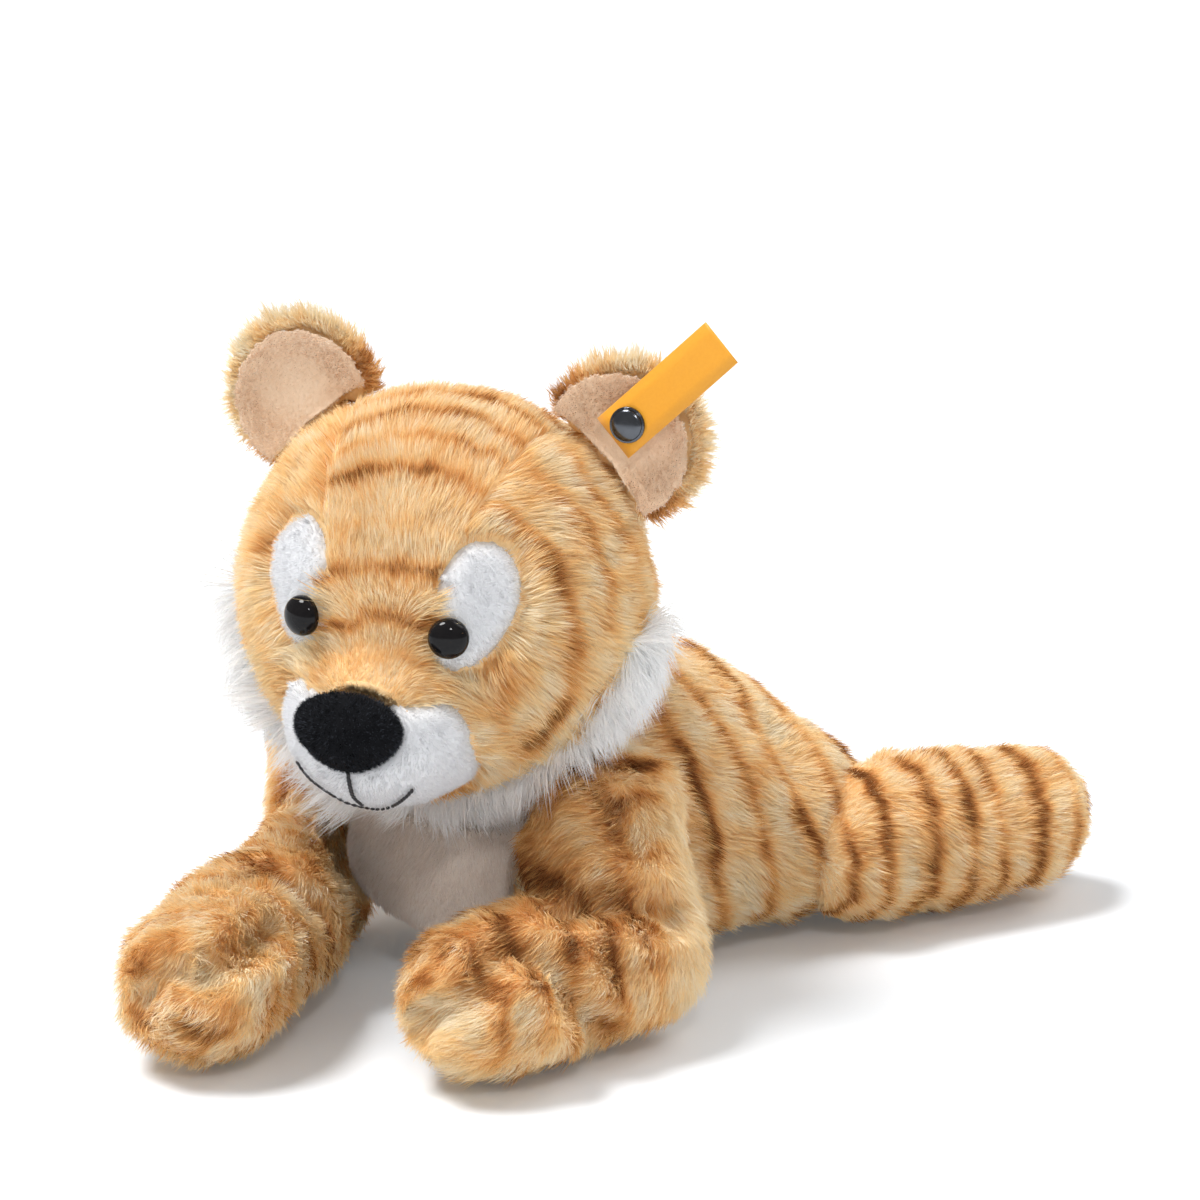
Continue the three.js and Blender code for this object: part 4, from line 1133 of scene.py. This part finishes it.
def addTag():
    _, top, axis = polesOf("tag_rivet")
    seat = top - axis * (rivetShape["rise"] + ribbon["underCap"]) * mm
    tilt = math.radians(ribbon["tilt"])
    sideways, upwards = headAxes @ np.array([1, 0, 0]), headAxes @ np.array([0, 0, 1])
    along = sideways * math.cos(tilt) + upwards * math.sin(tilt)
    across = Vector(np.cross(axis, along))
    far = ribbon["length"] - ribbon["overhang"]
    places = []
    for s, depth in ribbonPath(far):
        lift = depth + ribbon["curl"] * (max(s, 0) / far) ** 2
        places.append(Vector(seat + (along * s + axis * lift) * mm))
    bm = bmesh.new()
    shifts = (-1, -0.5, 0, 0.5, 1)
    row = [bm.verts.new(places[0] + across * shift * ribbon["width"] / 2 * mm) for shift in shifts]
    edges = [bm.edges.new(pair) for pair in zip(row, row[1:])]
    for here, there in zip(places, places[1:]):
        made = bmesh.ops.extrude_edge_only(bm, edges=edges)["geom"]
        edges = [item for item in made if isinstance(item, bmesh.types.BMEdge)]
        row = [item for item in made if isinstance(item, bmesh.types.BMVert)]
        bmesh.ops.translate(bm, verts=row, vec=there - here)
    bmesh.ops.recalc_face_normals(bm, faces=bm.faces)
    bmesh.ops.solidify(bm, geom=bm.faces[:], thickness=ribbon["thickness"] * mm)
    tag = mount(fromBmesh("ribbonTag", bm, satinFinish()), "tag", "ribbon", "ear_tag")


metal = metalFinish()
addRivet()
addTag()
print("rivet and tag made")

# Torso: one stuffed form, with a striped cover and a short cream bib down the chest

torsoForm = stuffedForm("torsoForm", ["torso_cover", "chest_panel", "torso_stuffing"], 2.2, 6)
fullness = {"hip": 4.0, "hipReach": 9, "chest": 4.0, "chestReach": 15, "chestAt": (-24, -68, 32)}
bodyFur = {"spread": 0.28, "bend": 0.4, "swirl": 0.5, "stray": 0.2, "tonal": 0.055, "under": 0.72,
           "underLength": 0.78}
torsoFur = {**bodyFur, "length": 6.6, "width": 0.27, "lean": 0.85, "perLock": 26, "grip": 0.45,
            "perSquareMm": 8.5, "seed": 71}
bibNap = {**plushNap, "length": 2.6, "width": 0.28, "lean": 1.0, "swirl": 0.3, "stray": 0.3, "perLock": 10,
          "tonal": 0.08, "seed": 81}


# The filling swells towards the hind legs, and the chest towards the right foreleg
def swollen(form, limbForms):
    co = verticesOf(form)
    toChest = np.linalg.norm(co - np.array(fullness["chestAt"]) * mm, axis=1) / mm
    swell = fullness["chest"] * band(toChest, 0, fullness["chestReach"])
    for name in ("hindleg_left", "hindleg_right"):
        toLeg = np.minimum(depthIn(co, treeOf(limbForms[name])), 0) / mm
        swell += fullness["hip"] * band(toLeg, 0, fullness["hipReach"])
    setVertices(form, co + normalsOf(form) * swell[:, None] * mm)


bodyTones = {"base": 0.26, "mottle": 0.12, "fleck": 0.05, "waver": 2.2, "fineWaver": 1.2, "even": 0.85,
             "uneven": 0.4, "faintest": 0.55, "strongest": 1.15}
torsoTones = {"gap": 15, "width": 1.8, "stripe": 0.85, "slant": 0.25, "paler": 0.04, "flank": 0.2, "seed": 91}


def bodyStripes(points, place, gap, width, dark, seed):
    shifted = place + bodyTones["waver"] * waves(points, 24, seed)
    shifted = shifted + bodyTones["fineWaver"] * waves(points, 8, seed + 1)
    near = np.abs((shifted / gap) % 1 - 0.5) * gap
    strength = bodyTones["even"] + bodyTones["uneven"] * waves(points, 26, seed + 2)
    strength = np.clip(strength, bodyTones["faintest"], bodyTones["strongest"])
    mottle = bodyTones["mottle"] * waves(points, 14, seed + 3)
    mottle = mottle + bodyTones["fleck"] * waves(points, 5, seed + 4)
    return bodyTones["base"] + mottle + dark * np.exp(-(near / width) ** 2) * strength


def torsoTone(points):
    _, y, z = points.T / mm
    place = y + torsoTones["slant"] * z
    tone = bodyStripes(points, place, torsoTones["gap"], torsoTones["width"], torsoTones["stripe"],
                       torsoTones["seed"])
    flank = band(y, -6, 28) * band(z, 40, 26) * np.clip(waves(points, 11, 97) + 0.3, 0, 1)
    return tone - torsoTones["paler"] + torsoTones["flank"] * flank


def torsoBrush(points, normals):
    return np.tile(np.array([0.0, 0.9, -0.4]), (len(points), 1))


def bibBrush(points, normals):
    return np.tile(np.array([0.1, -0.1, -0.95]), (len(points), 1))


# How deep the bib's cloth and its seam lie, and how far and where it runs on under the right foreleg
bibSeat = {"depth": 2.4, "seam": 0.8, "reach": 8, "rightOf": -5, "before": -45, "below": 45, "napEnd": 30}


def widened(mesh, bib):
    co = verticesOf(mesh)
    tree = KDTree(int(bib.sum()))
    for i, point in enumerate(co[bib]):
        tree.insert(point, i)
    tree.balance()
    near = np.array([tree.find(point)[2] < bibSeat["reach"] * mm for point in co])
    x, y, z = co.T
    under = (x < bibSeat["rightOf"] * mm) & (y < bibSeat["before"] * mm) & (z < bibSeat["below"] * mm)
    return bib | (near & under)


def addTorso(limbTrees):
    bib = widened(torsoForm, panelShares(torsoForm, ["torso_cover", "chest_panel"])["chest_panel"] > 0.5)
    bibShare = evened(torsoForm, bib, 2)
    depths = skin["furDepth"] + (bibSeat["depth"] - skin["furDepth"]) * bibShare
    torsoSkin = sunk(torsoForm, "torsoSkin", depths + 4 * bibSeat["seam"] * bibShare * (1 - bibShare))
    cover = mount(sheetOf("torsoCloth", torsoSkin, ~bib, "furBacking"), "torso", "gold_fur", "torso_cover")
    chest = mount(sheetOf("bibCloth", torsoSkin, bib, "creamBacking"), "torso", "cream_plush", "chest_panel")
    core = addObject("torsoStuffing", sunk(torsoForm, "torsoStuffing", skin["fillingDepth"]), "fibre")
    mount(core, "torso", "fibre", "torso_stuffing")
    growth = openTo(torsoSkin, limbTrees)
    fields = {"bib": bib * 1.0, "growth": growth}
    found = scatter(torsoSkin, torsoFur["perSquareMm"], torsoFur["seed"], fields)
    furred = found["bib"] < 0.5
    left, front = found["point"][:, 0] > 0, found["point"][:, 1] < 0
    for piece, use in [("torsoPileFrontLeft", left & front), ("torsoPileRearLeft", left & ~front),
                       ("torsoPileFrontRight", ~left & front), ("torsoPileRearRight", ~left & ~front)]:
        coat = {**torsoFur, "seed": torsoFur["seed"] + len(piece)}
        pile = growPile(piece, chosenOf(found, furred & use), coat, torsoBrush, torsoTone, "goldPile")
        mount(pile, "torso", "gold_fur")
    napEnd = bibSeat["napEnd"] * mm
    growth = growth * np.clip(napEnd - verticesOf(torsoSkin)[:, 1], 0, napEnd) / napEnd
    fields = {"bib": bib * 1.0, "growth": growth * (bibShare > 0.2)}
    found = scatter(torsoSkin, bibNap["perSquareMm"], bibNap["seed"], fields)
    nap = growPile("bibNap", chosenOf(found, found["bib"] >= 0.5), bibNap, bibBrush, evenTone, "creamNap")
    mount(nap, "torso", "cream_plush")


# How densely the pile grows at each corner: none inside a neighbour or on the floor, less on the underside
growing = {"underside": 0.45, "facesDown": -0.55, "floorGap": 2.5, "neighbour": 3}


def openTo(mesh, trees):
    co = verticesOf(mesh)
    faceDown = normalsOf(mesh)[:, 2] < growing["facesDown"]
    growth = np.where(faceDown, growing["underside"], 1.0) * (co[:, 2] > growing["floorGap"] * mm)
    for tree in trees:
        growth *= depthIn(co, tree) < growing["neighbour"] * mm
    return growth


# Legs and tail: sleeves whose root end reaches into the torso

limbFur = {**bodyFur, "length": 6.2, "width": 0.26, "lean": 0.82, "perLock": 24, "grip": 0.4,
           "perSquareMm": 9.0, "seed": 101}
# Where each limb starts, bends and ends, the plug at its root, and the gap and darkness of its stripes.
# The left foreleg has painted shade from one place forwards, with a pale seam behind, and both paws are a
# little paler.
limbs = {
    "foreleg_left": {"root": (45, -40, 56), "elbow": (65, -46, 22), "end": (72, -112, 22), "plug": 20,
                     "gap": 12.5, "stripe": 0.6, "dark": -44, "paw": 72, "seam": (0.574, 0.819, 0)},
    "foreleg_right": {"root": (-44, -58, 52), "elbow": (-38, -64, 22), "end": (34, -158, 22), "plug": 20,
                      "gap": 12.5, "stripe": 0.68, "paw": 96, "perSquareMm": 7.6},
    "hindleg_left": {"root": (33, 46, 25), "elbow": (38, 85, 23), "end": (44, 125, 23), "plug": 21,
                     "gap": 12.0, "stripe": 0.8},
    "hindleg_right": {"root": (-33, 46, 25), "elbow": (-68, 67, 23), "end": (-104, 88, 23), "plug": 21,
                      "gap": 12.0, "stripe": 0.8},
    "tail": {"root": (-4, 68, 18), "elbow": (-12, 96, 8), "end": (-52, 132, 8), "plug": 8,
             "gap": 11.0, "stripe": 0.8, "furDepth": 3.0, "voxel": 1.4},
}
limbShape = {"voxel": 1.8, "rounds": 5, "filling": 2.5, "bendFrom": -8, "bendTo": 18, "stripeWidth": 2.0,
             "shortAtRoot": 0.45, "longAfter": 16}
# The painted shade on the left foreleg's front: how far it fades in, the height above which it lies and its
# strength; then the paws' paling and the pale seam
limbTones = {"darkOver": 14, "darkAbove": 30, "dark": 0.3, "pawOver": 15, "paw": 0.07, "seam": 0.2,
             "seamShare": 0.85, "seamFrom": 9, "seamOver": 5, "seamEnd": -80}

# The creases stitched into the paws and elbows, as lines over the sleeves
creases = {
    "foreleg_left": [[(85.3, -100.8, 33.1), (83.0, -95.9, 38.4), (81.1, -90.5, 41.8)],
                     [(85.3, -100.8, 33.1), (81.4, -107.7, 28.4), (71.8, -111.8, 21.4)],
                     [(83.3, -86.9, 39.9), (86.5, -78.3, 35.0), (90.1, -74.1, 23.3), (84.2, -62.6, 10.1)],
                     [(72.4, -69.8, 42.5), (72.9, -58.3, 42.8), (79.0, -50.5, 41.7), (80.8, -39.7, 38.7)]],
    "foreleg_right": [[(38.1, -149.9, 30.9), (37.5, -146.1, 34.0), (36.1, -136.4, 36.6),
                       (29.1, -123.2, 36.6)],
                      [(38.1, -149.9, 30.9), (30.0, -157.1, 33.0), (23.6, -162.3, 22.9)],
                      [(6.9, -124.1, 44.9), (4.9, -113.7, 43.5), (12.3, -107.2, 39.0), (14.1, -99.7, 31.4)]],
}
crease = {"depth": 4.8, "width": 3.8, "swell": 1.2, "unevenness": 0.8}


# A stuffed form with its creases pressed in, a little swelling beside them and an uneven filling
def creased(mesh, lines, seed):
    co = verticesOf(mesh)
    near = np.full(len(co), 1e3)
    for line in lines:
        for start, end in zip(np.array(line) * mm, np.array(line[1:]) * mm):
            share = np.clip(((co - start) @ (end - start)) / ((end - start) @ (end - start)), 0, 1)
            near = np.minimum(near, np.linalg.norm(co - start - share[:, None] * (end - start), axis=1) / mm)
    press = crease["depth"] * band(near, 0, crease["width"])
    press = press - crease["swell"] * band(near, 2.4 * crease["width"], crease["width"])
    return sunk(mesh, mesh.name, press - crease["unevenness"] * waves(co, 26, seed))


# How far along the limb each point lies, and the way the limb runs there
def alongLimb(points, limb):
    root, elbow, end = (np.array(limb[key]) * mm for key in ("root", "elbow", "end"))
    first, second = unit(elbow - root), unit(end - elbow)
    upper = np.linalg.norm(elbow - root)
    past = (points - elbow) @ second
    turn = np.clip(past / (12 * mm) + 0.5, 0, 1)[:, None]
    place = np.where(past > 0, upper + past, (points - root) @ first)
    return place, unit(first * (1 - turn) + second * turn)


def limbForm(name, limb):
    plugs = [(np.array(limb["root"]) * mm, limb["plug"])]
    nodes = [name + "_cover", name + "_stuffing"]
    voxel = limb.get("voxel", limbShape["voxel"])
    form = stuffedForm(name + "Form", nodes, voxel, limbShape["rounds"], plugs)
    return creased(form, creases.get(name, []), int(limb["root"][0]) + 200)


def limbTone(points, limb, seed):
    place = alongLimb(points, limb)[0] / mm
    tone = bodyStripes(points, place, limb["gap"], limbShape["stripeWidth"], limb["stripe"], seed)
    # painted shade over the front of the left upper arm, made uneven
    if "dark" in limb:
        shade = np.clip((limb["dark"] * mm - points[:, 1]) / (limbTones["darkOver"] * mm), 0, 1)
        shade = shade * (points[:, 2] > limbTones["darkAbove"] * mm)
        tone = tone + shade * limbTones["dark"] * (0.6 + 0.5 * waves(points, 9, seed + 7))
    if "paw" in limb:
        tone = tone - limbTones["paw"] * np.clip((place - limb["paw"]) / limbTones["pawOver"], 0, 1)
    if "seam" in limb:
        behind = points @ limb["seam"] / mm - limbTones["seamFrom"]
        pale = np.clip(behind / limbTones["seamOver"], 0, 1) * (points[:, 1] > limbTones["seamEnd"] * mm)
        tone = tone + (limbTones["seam"] - tone) * pale * limbTones["seamShare"]
    return tone


def bendWith(piece, name):            # the piece's place is baked into its mesh; where a bend would start and end is worked out but not used
    root = np.array(limbs[name]["root"]) * mm
    towards = unit(np.array(limbs[name]["elbow"], float) - np.array(limbs[name]["root"]))
    start, end = (root + towards * limbShape[key] * mm for key in ("bendFrom", "bendTo"))
    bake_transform(piece)
    return piece


def addLimb(name, limb, form):
    title = "".join(word.title() for word in name.split("_"))
    depth = limb.get("furDepth", skin["furDepth"])
    sleeve = sunk(form, title + "Cloth", depth)
    cloth = bendWith(addObject("cloth" + title, sleeve, "furBacking"), name)
    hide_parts(name + "_cover")
    filling = sunk(form, title + "Stuffing", depth + limbShape["filling"])
    core = bendWith(addObject("stuffing" + title, filling, "fibre"), name)
    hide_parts(name + "_stuffing")
    perSquareMm = limb.get("perSquareMm", limbFur["perSquareMm"])
    found = scatter(sleeve, perSquareMm, limbFur["seed"], {"growth": openTo(sleeve, [torsoTree])})
    short = limbShape["shortAtRoot"]
    fromTorso = depthIn(found["point"], torsoTree) / (limbShape["longAfter"] * mm)
    found["reach"] = np.clip(short - fromTorso, short, 1.0)
    coat = {**limbFur, "seed": limbFur["seed"] + len(name) * 3 + int(limb["root"][0])}

    def brush(points, normals):
        return alongLimb(points, limb)[1] + np.array([0, 0, -0.25])

    def tone(points):
        return limbTone(points, limb, coat["seed"] + 40)

    bendWith(growPile("pile" + title, found, coat, brush, tone, "goldPile"), name)


limbForms = {name: limbForm(name, limb) for name, limb in limbs.items()}
swollen(torsoForm, limbForms)
torsoTree = treeOf(torsoForm)
addTorso([treeOf(form) for form in limbForms.values()])
print("torso made")
for name, limb in limbs.items():
    addLimb(name, limb, limbForms[name])
print("legs and tail made")

# The neck's filling and the small fittings inside

neckBall = {"radius": 20}


def addNeck():
    bm = bmesh.new()
    bmesh.ops.create_icosphere(bm, subdivisions=4, radius=neckBall["radius"] * mm)
    bmesh.ops.translate(bm, verts=bm.verts, vec=Vector(jointAt["head_nod"]))
    ball = fromBmesh("neckFilling", bm, "fibre")
    mount(ball, "neck", "fibre", "neck_stuffing")


def nylonFinish():
    finish = Finish("nylon")
    grain = finish.noise(1200.0, 3.0)
    finish.set(Base_Color=finish.blendColours(grain, hexColour("#d9d9d4"), hexColour("#efefea")),
               Roughness=grain * 0.2 + 0.4, Normal=finish.bump(grain, 0.2, 0.0001))
    return finish.material


def refinish(node, material):               # a CAD node keeps its mesh and gets a finish
    materials = frame["nodes"][node].data.materials
    materials.clear()
    materials.append(material)


addNeck()
nylon = nylonFinish()
for side in ("left", "right"):
    refinish("eye_washer_" + side, nylon)
refinish("rivet_back", metal)
print("neck and fittings made")

bpy.context.view_layer.update()
print("triangles", sum(len(trianglesOf(piece.data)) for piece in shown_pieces()))
